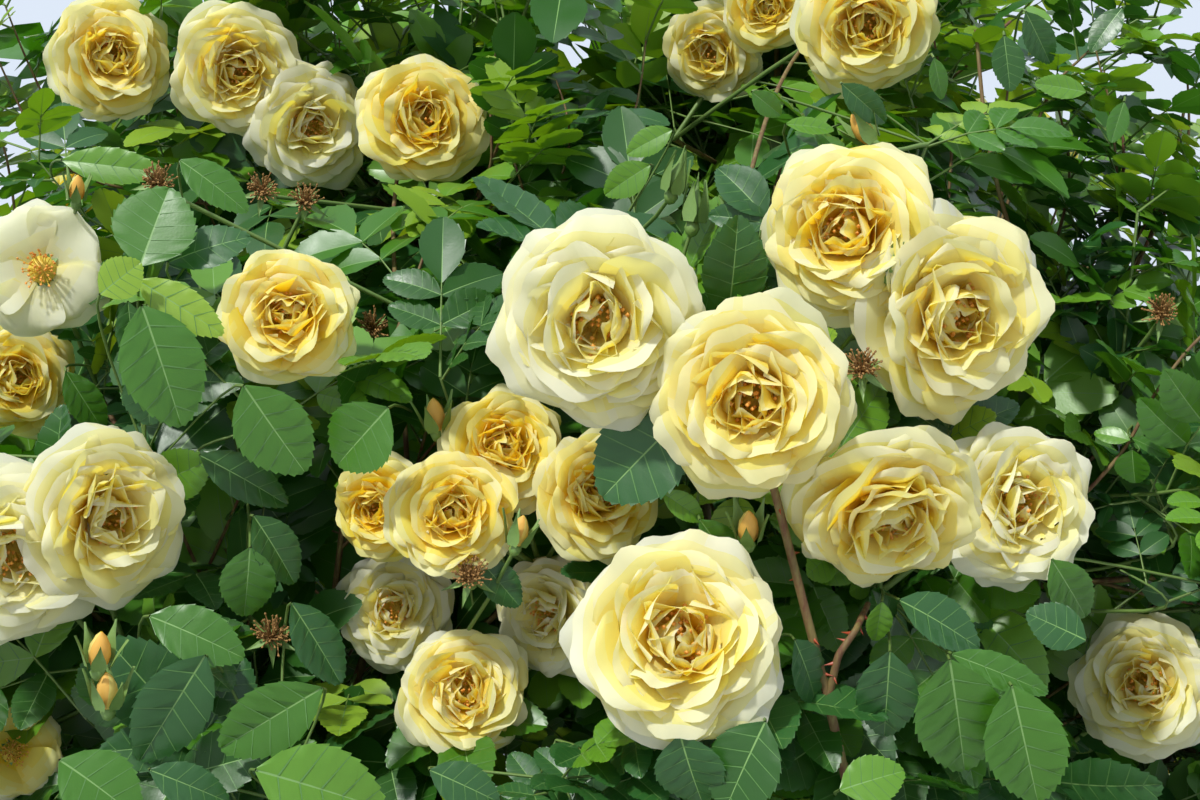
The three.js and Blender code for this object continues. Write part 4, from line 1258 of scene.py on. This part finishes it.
def add_leaves(leaves, carriers):
    heap = Heap("leaves", LEAF_TONES + [LEAF_RIB, LEAF_VEIN])
    rib_tone, vein_tone = len(LEAF_TONES), len(LEAF_TONES) + 1
    at, way, normal, far, owner = leaflets_of(leaves)
    rng = np.random.default_rng(13)
    count = len(at)
    wide = far * (0.52 + 0.16 * rng.random(count))
    fold, droop, curl = (rng.uniform(*ends, count) for ends in ((0.05, 0.42), (0.0, 0.3), (-0.05, 0.3)))
    twist = rng.normal(0, 0.14, count)
    across, down, ahead = seen_at(at + way * 0.5 * far[:, None])
    seen = in_view(across, down, 60) & (ahead > 0) & (foremost(across, down, ahead, 26) < 3)
    close = seen & (ahead < CLOSE_LEAFLETS)
    near = seen & (ahead < NEAR_LEAFLETS) & ~close
    own = (at, way, normal, far, wide, fold, droop, curl, twist, leaves["tone"][owner], close, near)
    at_the_front, stalks = front_leaflets(carriers)
    columns = [np.concatenate(pair) for pair in zip(own, at_the_front)]
    (at, way, normal), measures, (tone, close, near) = columns[:3], columns[3:9], columns[9:]

    def lay(chosen, points, faces, tones):
        shape = shaped(points, *(part[chosen] for part in measures))
        heap.add(laid(shape, at[chosen], way[chosen], normal[chosen]), faces, tones)

    lay(~close & ~near, *plain_blade(), tone[~close & ~near][:, None])
    for chosen, steps, quilted in ((close, 12, True), (near, 7, False)):
        points, faces, is_rib, teeth, veins = blade(steps, quilted)
        green = tone[chosen][:, None]
        lay(chosen, points, faces, np.where(is_rib[None], rib_tone, green))
        lay(chosen, *teeth, green)
        if quilted:
            lay(chosen, *veins, vein_tone)
    heap.make()

    ribs = Heap("leaf_stalks", [GREEN_STEM])
    base, way, reach = leaves["base"], leaves["way"], (RIB_SHARE * leaves["size"])[:, None, None]
    across, down, ahead = seen_at(base)
    near = (ahead > 0) & (ahead < NEAR_RIBS) & in_view(across, down, 60)
    for steps, chosen in ((3, near), (2, ~near)):
        share = np.linspace(0, 1, steps)[None, :, None]
        paths = base[chosen, None] + way[chosen, None] * reach[chosen] * share
        paths = paths - UP * leaves["droop"][chosen, None, None] * reach[chosen] * share**2
        ribs.rods(paths, np.linspace(1.0, 0.45, steps), 3, 0)
    ribs.rods(stalks, 0.8, 4, 0)
    ribs.make()


def nearest_carrier(place, carriers, behind=12):
    """The nearest point of the shoots further from the eye than a place, by a way that crosses no flower in view."""
    gap = np.linalg.norm(carriers - place, axis=1)
    gap[np.linalg.norm(carriers - EYE, axis=1) < length(place - EYE) + behind] = 1e9
    near = np.argsort(gap)[:240:6]
    share = np.array([0.3, 0.55, 0.8, 1])[None, :, None]
    line = place * (1 - share) + carriers[near][:, None] * share
    crossed = ~ROOM.clear(line.reshape(-1, 3), 1.5, ANY_OWNER, kinds=("flower", "sight")).reshape(len(near), -1)
    return carriers[near[int(np.argmin(gap[near] + 120 * crossed.sum(axis=1)))]]


def add_stems(shoots):
    heap = Heap("twigs_and_stalks", [GREEN_STEM, RED_STEM])
    for group, red_share in ((shoots, 0.45), (STALKS, 0)):
        by_steps = {}
        for shoot in group:
            by_steps.setdefault(len(shoot["path"]), []).append(shoot)
        for steps, rows in by_steps.items():
            ends = np.array([row["radius"] for row in rows])
            radii = ends[:, :1] + (ends[:, 1:] - ends[:, :1]) * np.linspace(0, 1, steps)
            tones = np.array([[dice(7000 + i)() < red_share] for i in range(len(rows))])
            heap.rods([row["path"] for row in rows], radii, 4, tones)
    for thick, rooted, stem in FRONT_STEMS:
        points = seen_places(stem)
        if rooted:
            heart = HEARTS[nearest(HEARTS, points[0])]
            points = np.concatenate([[heart, heart * 0.4 + points[0] * 0.6 + vec(0, 0, -20)], points])
        heap.rods([smoothed(points, STEM_STEPS)], np.linspace(thick, 0.7 * thick, STEM_STEPS), 10, 1)
    heap.make()


# Flowers: whorls of ruffled petals, from the reflexed outer ones to the folded ones at the heart
WHORLS = [
    # petals, length and width in flower radii, degrees above level at the root and at the rim, cup, ruffle
    (5, 1.06, 1.26, 26, -24, 0.08, 0.085),
    (6, 1.02, 1.18, 31, -8, 0.12, 0.095),
    (6, 0.96, 1.08, 37, 8, 0.17, 0.105),
    (6, 0.86, 0.94, 42, 21, 0.24, 0.12),
    (6, 0.72, 0.82, 47, 34, 0.32, 0.14),
    (6, 0.6, 0.72, 52, 50, 0.44, 0.17),
    (6, 0.5, 0.6, 60, 84, 0.6, 0.2),
    (4, 0.38, 0.46, 66, 104, 0.6, 0.2),
]
FIRST_OF_HEART, LAST_OF_OTHERS = 5, 6


def drawn_petals(flowers, fewest, rng):
    """Where each petal stands and its measures, in columns, as petals_of takes them."""
    rows = []
    for flower in flowers:
        full, age, radius = flower["fullness"], flower["age"], flower["width"] / 2
        start = rng.random() * 2 * math.pi
        closed = 16 * (1 - age) * (0.4 + 0.6 * rng.random())
        for k, (number, far, wide, root, rim, cup, ruffle) in enumerate(WHORLS):
            if full < 0.5 and k > 1 or k > LAST_OF_OTHERS and not flower["front"]:
                break
            if k >= FIRST_OF_HEART:
                number = max(3, round(number * (1.2 - 0.5 * age)))
            elif k > 0:
                number = max(fewest, round(number * (0.55 + 0.45 * full)))
            loose = 1 + 0.25 * (k > 3)
            for i in range(number):
                turn = start + k * 1.15 + (i + rng.normal(0, 0.12)) * 2 * math.pi / number
                rows.append((
                    flower["centre"], flower["face"], turn, radius,
                    far * radius * rng.uniform(0.93, 1.06), wide * radius * rng.uniform(0.88, 1.12),
                    math.radians(root + closed * 0.4 + rng.normal(0, 5) * loose),
                    math.radians(rim + closed + rng.normal(0, 8) * loose),
                    cup * rng.uniform(0.6, 1.4), ruffle * radius * rng.uniform(0.55, 1.3), rng.uniform(0, 6.28),
                    rng.normal(0, 0.16) * loose, k, age,
                ))
    return [np.array(column) for column in zip(*rows)]


def petals_of(flowers, rows, columns, fewest):
    """All petals of the flowers at once, as copies x corners x 3, with a tone for each face."""
    rng = np.random.default_rng(21)
    drawn = drawn_petals(flowers, fewest, rng)
    centre, face, turn, radius, far, wide, root, rim, cup, ruffle, phase, tilt, whorl, age = drawn
    s = np.linspace(0, 1, rows)
    t = np.linspace(-1, 1, columns)
    # The line from root to rim: how steep it is, then how far out and up it comes
    lean = root[:, None] + (rim - root)[:, None] * s**1.35
    lean = lean - np.radians(34) * np.clip((s - 0.78) / 0.22, 0, 1) ** 1.5 * (whorl < FIRST_OF_HEART)[:, None]
    middle = (lean[:, 1:] + lean[:, :-1]) / 2
    at_root = np.zeros((len(far), 1))
    out, rise = (
        np.concatenate([at_root, np.cumsum(part * np.diff(s), axis=1)], axis=1) * far[:, None]
        for part in (np.cos(middle), np.sin(middle))
    )
    from_axis = np.where(whorl >= FIRST_OF_HEART, 0.2 - 0.03 * (whorl - FIRST_OF_HEART), 0.08)
    out += from_axis[:, None] * radius[:, None]
    rise += (-0.42 + 0.034 * whorl)[:, None] * radius[:, None]
    half = 0.2 + 0.8 * np.sin(math.pi / 2 * np.minimum(s / 0.7, 1)) ** 1.1
    half = half * np.sqrt(np.maximum(0.0, 1 - np.clip((s - 0.74) / 0.46, 0, 1) ** 2.2))
    half = half[None] * wide[:, None] / 2
    across, along = squares_to(face)
    radial = around(across, along, turn)
    tangent = np.cross(face, radial)
    # The rim: rounded corners, a shallow notch and small nicks
    nicks = 0.01 * np.sin(6 * t + phase[:, None])
    short = 0.05 * t**2 + 0.34 * np.abs(t) ** 3 + 0.03 * np.exp(-((t / 0.3) ** 2)) + nicks
    pull = 1 - s[None, :, None] ** 2 * short[:, None, :]
    foot = rise[:, :1, None]
    outward, upward = out[:, :, None] * pull, foot + (rise[:, :, None] - foot) * pull
    # The skin: cupped, ruffled and tilted square to itself
    ruffle, phase = ruffle[:, None, None], phase[:, None]
    inward = -np.sin(lean)[:, :, None, None] * radial[:, None, None]
    inward = inward + np.cos(lean)[:, :, None, None] * face[:, None, None]
    bow = cup[:, None, None] * half[:, :, None] * t**2 * (0.5 + s[None, :, None])
    folds = 0.62 * np.sin(2.8 * t + phase)[:, None] + 0.26 * np.sin(6.3 * t + 2.1 * phase)[:, None]
    wave = ruffle * s[None, :, None] ** 1.6 * folds
    wave = wave + 0.08 * ruffle * np.sin(6 * s[None, :, None] + 3 * t + phase[:, None])
    tilted = tilt[:, None, None] * half[:, :, None] * t
    points = (
        centre[:, None, None]
        + radial[:, None, None] * outward[..., None]
        + face[:, None, None] * upward[..., None]
        + tangent[:, None, None] * (half[:, :, None] * t)[..., None]
        + inward * (bow + wave + tilted)[..., None]
    )
    # Golden at the root and at the heart, paler to the rim, on the outer petals and with age
    row_of = np.repeat(np.arange(rows - 1), columns - 1)[None] / (rows - 2)
    place = np.where(whorl >= FIRST_OF_HEART, -0.6, 0) + np.where(whorl < 2, 0.8, 0)
    tone = 1 + 3.9 * row_of**1.1 + 1.3 * (row_of > 0.93) + place[:, None] + (4 * age - 1.7)[:, None]
    tone = tone + rng.normal(0, 0.3, len(age))[:, None]
    tone = tone + rng.normal(0, 0.12, tone.shape)
    tone = np.clip(np.round(tone), 0, len(PETAL_TONES) - 1).astype(int)
    return points.reshape(len(far), -1, 3), grid_faces(rows, columns), tone


def add_petals():
    for name, flowers, grid in (
        ("petals_of_the_front", FRONT_FLOWERS, (9, 12, 5)), ("petals_all_round", OTHERS, (4, 5, 4)),
    ):
        heap = Heap(name, PETAL_TONES)
        heap.add(*petals_of(flowers, *grid))
        heap.make()


KNOB = lathe([[0.05, -1], [1, 0], [0.05, 1.2]], 4)


def add_stamens():
    """The tawny threads at each flower's heart, each with its small lobed tip, on a low cushion."""
    heap = Heap("stamens", STAMEN_TONES)
    rng = np.random.default_rng(31)
    rows = []
    for flower in FLOWERS:
        number, tip = (50, 1) if flower["front"] else (7, 2.4)
        centre, face, radius = flower["centre"], flower["face"], flower["width"] / 2
        across, along = square_to(face)
        for i in range(number):
            out = math.sqrt((i + 0.5) / number)
            lean = around(across, along, i * GOLDEN_TURN)
            start = centre + face * -0.24 * radius + lean * out * 0.12 * radius
            way = unit(face + lean * out * 0.66 + rng.normal(0, 0.12, 3))
            rows.append((start, start + way * radius * rng.uniform(0.24, 0.38), way, 0.017 * radius * tip))
    starts, ends, ways, tips = (np.array(column) for column in zip(*rows))
    heap.rods(np.stack([starts, ends], axis=1), 0.28, 3, 0)
    heap.stand(KNOB, ends, ways, tips * 1.5, 1)
    cushion = lathe([[0.24, 0], [0.22, 0.08], [0.14, 0.16], [0.01, 0.2]], 9)
    centres, ways, radii = (np.array([flower[key] for flower in FLOWERS]) for key in ("centre", "face", "width"))
    radii = radii / 2
    heap.stand(cushion, centres - ways * (0.36 * radii)[:, None], ways, radii, 0)
    heap.make()


def sepal_form():
    """One sepal a unit long from root to drawn-out tip, as a strip along +X."""
    x = np.linspace(0, 1, 6)
    half = np.array([0.1, 0.15, 0.13, 0.08, 0.04, 0.008])
    points = np.stack([np.stack([x, side * half, 0.06 * abs(side) + 0 * x], 1) for side in (-1, 0, 1)], axis=1)
    return points.reshape(-1, 3), grid_faces(6, 3)[:, ::-1]


SEPAL, SEPAL_FACES = sepal_form()
HIP = lathe([[0.12, -1.2], [0.7, -0.8], [1, 0], [0.75, 0.7], [0.5, 1]], 8)


def add_sepals(heap, rng, at, way, far, lean):
    """Five sepals round each place, leaning out from a way."""
    across, along = squares_to(way)
    for i in range(5):
        turn = i * 2 * math.pi / 5 + rng.uniform(0, 0.4, len(at))
        out = around(across, along, turn)
        tilt = (lean + rng.normal(0, 0.12, len(at)))[:, None]
        forward = unit(out * np.cos(tilt) + way * np.sin(tilt))
        up_side = unit(-out * np.sin(tilt) + way * np.cos(tilt))
        shape = shaped(SEPAL, far, far, 0 * far, rng.uniform(-0.25, 0.25, len(at)), 0 * far, 0 * far)
        heap.add(laid(shape, at + out * 2.6, forward, up_side), SEPAL_FACES, 0)


def bud_places(carriers, rng):
    """Buds: where each stands, where its stalk starts, and whether its petals show."""
    rows = []
    for across, down, distance, shows in FRONT_BUDS:
        place = seen_place(across, down, distance)
        rows.append((place, nearest_carrier(place, carriers, 25), bool(shows)))
    for mass in MASSES:
        for cluster in mass["clusters"]:
            if not cluster["flowers"][0]["front"]:
                way = blend((mass["outward"], 0.8), (UP, 0.8), (rng.normal(0, 1, 3), 0.5))
                place = cluster["fork"] + way * rng.uniform(70, 120)
                if inside_crown(place, 10)[0] and ROOM.clear(place[None], 12, ANY_OWNER, kinds=HINDRANCES)[0]:
                    rows.append((place, cluster["fork"], rng.random() < 0.5))
    return [np.array(column) for column in zip(*rows)]


def add_buds(heap, rng, carriers):
    closed_bud = lathe([[0.7, 0], [1.02, 0.7], [1, 1.4], [0.66, 2.3], [0.3, 3.2], [0.12, 4.2], [0.03, 5]], 10)
    cone, cone_faces = lathe([[0.66, 0], [0.98, 0.7], [1.08, 1.5], [0.94, 2.4], [0.55, 3.2], [0.1, 3.7]], 10)
    twist = np.arange(len(cone)) // 10 * 0.16
    x, y, z = cone.T
    cone = np.stack([x * np.cos(twist) - y * np.sin(twist), x * np.sin(twist) + y * np.cos(twist), z], axis=1)
    cone_tones = np.where(np.arange(len(cone_faces)) % 10 < 5, 1, 4)
    at, start, shows = bud_places(carriers, rng)
    way = unit(unit(at - start) * 0.4 + UP * 0.9 + rng.normal(0, 0.1, at.shape))
    share = np.linspace(0, 1, 7)[None, :, None]
    reach = np.linalg.norm(at - start, axis=1)[:, None, None]
    paths = start[:, None] * (1 - share) + at[:, None] * share
    paths = paths - 0.5 * way[:, None] * reach * share**2 * (1 - share)
    heap.rods(paths, np.linspace(1.5, 1.1, 7), 6, 3)
    size = rng.uniform(4.2, 5.4, len(at))
    heap.stand(HIP, at, way, size * 0.8, 0)
    foot = at + way * (size * 0.6)[:, None]
    heap.stand(closed_bud, foot[~shows], way[~shows], size[~shows], 0)
    heap.stand((cone, cone_faces), foot[shows], way[shows], size[shows], cone_tones)
    across, along = squares_to(way)
    for i in range(5):
        out = around(across, along, i * 2 * math.pi / 5 + 0.2)
        forward = unit(way + out * (0.06 + 0.3 * rng.random(len(size)) * shows)[:, None])
        far = size * rng.uniform(3.4, 4.4, len(size))
        shape = shaped(SEPAL, far, far * 1.3, 0 * far, np.where(shows, -0.1, 0.12), 0.5 + 0 * far, 0 * far)
        heap.add(laid(shape, foot + out * size[:, None], forward, out), SEPAL_FACES, 0)


def add_spent_heads(heap, rng, carriers):
    """Hips with hanging sepals and a tuft of dried threads."""
    at = seen_places(FRONT_SPENT)
    way = unit(EYE - at + UP * 500)
    start = np.array([nearest_carrier(place, carriers, 20) for place in at])
    share = np.linspace(0, 1, 7)[None, :, None]
    heap.rods(start[:, None] * (1 - share) + at[:, None] * share, 1.4, 5, 3)
    heap.stand(HIP, at, way, np.full(len(at), 4.6), 0)
    add_sepals(heap, rng, at + way * 2, way, np.full(len(at), 13.0), -0.5)
    threads, leans = [], []
    for foot, up in zip(at, way):
        across, along = square_to(up)
        for i in range(80):
            out = math.sqrt((i + 0.5) / 80)
            lean = unit(up + around(across, along, i * GOLDEN_TURN) * out * 1.7 + rng.normal(0, 0.25, 3))
            curl = lean * rng.uniform(7, 10)
            threads.append([foot + up * 3, foot + up * 4 + curl * 0.6, foot + up * 6 + curl + rng.normal(0, 1.6, 3)])
            leans.append(lean)
    threads = np.array(threads)
    heap.rods(threads, 0.34, 3, 2)
    heap.stand(KNOB, threads[:, 2], np.array(leans), np.full(len(threads), 0.8), 2)


def add_calyces(carriers):
    """Hips and sepals behind the flowers, whole buds, and spent flower heads."""
    heap = Heap("buds_and_calyces", [CALYX, APRICOT, STAMEN_TONES[2], GREEN_STEM, PETAL_TONES[4]])
    rng = np.random.default_rng(41)
    backs, faces, widths = (np.array([flower[key] for flower in FLOWERS]) for key in ("back", "face", "width"))
    backs = backs + faces * 2
    heap.stand(HIP, backs, faces, widths * 0.052, 0)
    add_sepals(heap, rng, backs, faces, widths * 0.3, -0.15)
    add_buds(heap, rng, carriers)
    add_spent_heads(heap, rng, carriers)
    heap.make()


# Limbs in bark
def barked_limb(path, radii, sides, seed, ridge):
    """One limb's corners: a tube with long ridges, swollen nodes and an uneven skin."""
    rng = np.random.default_rng(seed)
    walked = np.concatenate([[0], np.cumsum(np.linalg.norm(np.diff(path, axis=0), axis=1))])
    swell = np.ones(len(path))
    for node in np.arange(45, walked[-1], 62):
        swell += 0.16 * np.exp(-(((walked - node - rng.uniform(-9, 9)) / 5) ** 2))
    points = tubes(path[None], (radii * swell)[None], sides).reshape(len(path), sides, 3)
    turn = np.arange(sides) * 2 * math.pi / sides
    lumps = ridge * (
        np.sin(3 * turn[None] + walked[:, None] / 60 + seed) * 0.5
        + np.sin(7 * turn[None] - walked[:, None] / 90 + 2 * seed) * 0.3
        + rng.normal(0, 0.16, (len(path), sides))
    )
    return (points + (points - path[:, None]) * lumps[..., None]).reshape(1, -1, 3)


def limb_path(limb, steps):
    """From inside what carries the limb to the heart of its mass."""
    curve = limb.at(np.linspace(0, 1, steps))
    mass = limb.mass
    end = [mass["foot"] + (mass["heart"] - mass["foot"]) * 0.5, mass["heart"], mass["core"]]
    path = np.array([limb.root[0], (limb.root[0] + limb.root[1]) / 2] + list(curve) + end)
    radii = np.concatenate([
        [limb.foot * 1.12, limb.foot * 1.04], np.linspace(limb.foot, limb.tip, steps), [BRANCH_TIP, STEM_TIP, 1.6],
    ])
    return path, radii


def add_limbs():
    for name, limbs, nodes, steps, sides, seed, ridge in (
        ("canes", CANES, [f"cane_{i + 1}" for i in range(len(CANES))], 90, 14, 50, 0.07),
        ("branches", BRANCHES, [f"branch_{branch.mass['name']}" for branch in BRANCHES], 56, 10, 80, 0.06),
    ):
        heap = Heap(f"{name}_in_bark", [CANE_BARK], "cane_bark", nodes)
        for i, limb in enumerate(limbs):
            path, radii = limb_path(limb, steps)
            heap.add(barked_limb(path, radii, sides, seed + i, ridge), grid_faces(len(path), sides, closed=True), 0)
        heap.make()


def add_root_crown(rows=30, sides=40):
    """The swollen foot of the canes, knobbly and flat at ground level."""
    heap = Heap("root_crown_in_bark", [OLD_BARK], "old_bark", ["root_crown"])
    up = np.linspace(0, 1, rows)
    out = np.interp(up, [0, 0.2, 0.7, 0.95, 1], [1, 0.74, 0.68, 0.45, 0.02]) * CROWN_RADIUS
    out[1:-1] = (out[:-2] + out[1:-1] * 2 + out[2:]) / 4
    turn = np.arange(sides) * 2 * math.pi / sides
    rng = np.random.default_rng(71)
    knobs = 0.05 * np.sin(5 * turn[None] + 3 * up[:, None]) + 0.04 * np.sin(9 * turn[None] - 5 * up[:, None])
    knobs = knobs + rng.normal(0, 0.012, (rows, sides))
    knobs[0] = np.minimum(knobs[0], 0)
    rim = out[:, None] * (1 + knobs)
    points = np.stack([rim * np.cos(turn), rim * np.sin(turn), up[:, None] * CROWN_HEIGHT + 0 * rim], axis=2)
    points = points.reshape(1, -1, 3)
    heap.add(points, grid_faces(rows, sides, closed=True), 0)
    cap = np.concatenate([points[0, :sides], [[0, 0, 0]]])[None]
    heap.add(cap, [[(i + 1) % sides, i, sides] for i in range(sides)], 0)
    heap.make()


def add_prickles():
    """Short hooked prickles on the canes, branches and red stems."""
    heap = Heap("prickles", [PRICKLE], "cane_bark", [f"cane_{i + 1}" for i in range(len(CANES))])
    rng = np.random.default_rng(61)
    rows = []

    def prickle(place, along, out_by):
        out = around(*square_to(along), rng.uniform(0, 6.28))
        rows.append((place + out * out_by, unit(out - along * 0.35)))

    for limb in CANES + BRANCHES:
        shares = np.arange(0.05, 1, 34 / limb.walked[-1])
        for share, place in zip(shares, limb.at(shares)):
            prickle(place, limb.way(share), (limb.foot + (limb.tip - limb.foot) * share) * 0.9)
    for thick, _, stem in FRONT_STEMS[:2]:
        points = seen_places(stem)
        for start, end in zip(points[:-1], points[1:]):
            for share in (0.15, 0.5, 0.8):
                prickle(start + (end - start) * share, unit(end - start), 0.8 * thick)
    at, way = (np.array(column) for column in zip(*rows))
    hook, faces = lathe([[1.5, -0.6], [0.9, 1.2], [0.45, 3.2], [0.04, 5.6]], 5)
    hook[:, 0] *= 0.6
    heap.stand((hook, faces), at, way, rng.uniform(0.6, 1.05, len(at)), 0)
    heap.make()


LEAVES = grow_leaves()
SHOOTS = cut_back(SHOOTS, LEAVES)
CARRIERS = np.concatenate([shoot["path"] for shoot in SHOOTS])
add_limbs()
add_root_crown()
add_prickles()
add_stems(SHOOTS)
add_leaves(LEAVES, CARRIERS)
add_petals()
add_stamens()
add_calyces(CARRIERS)
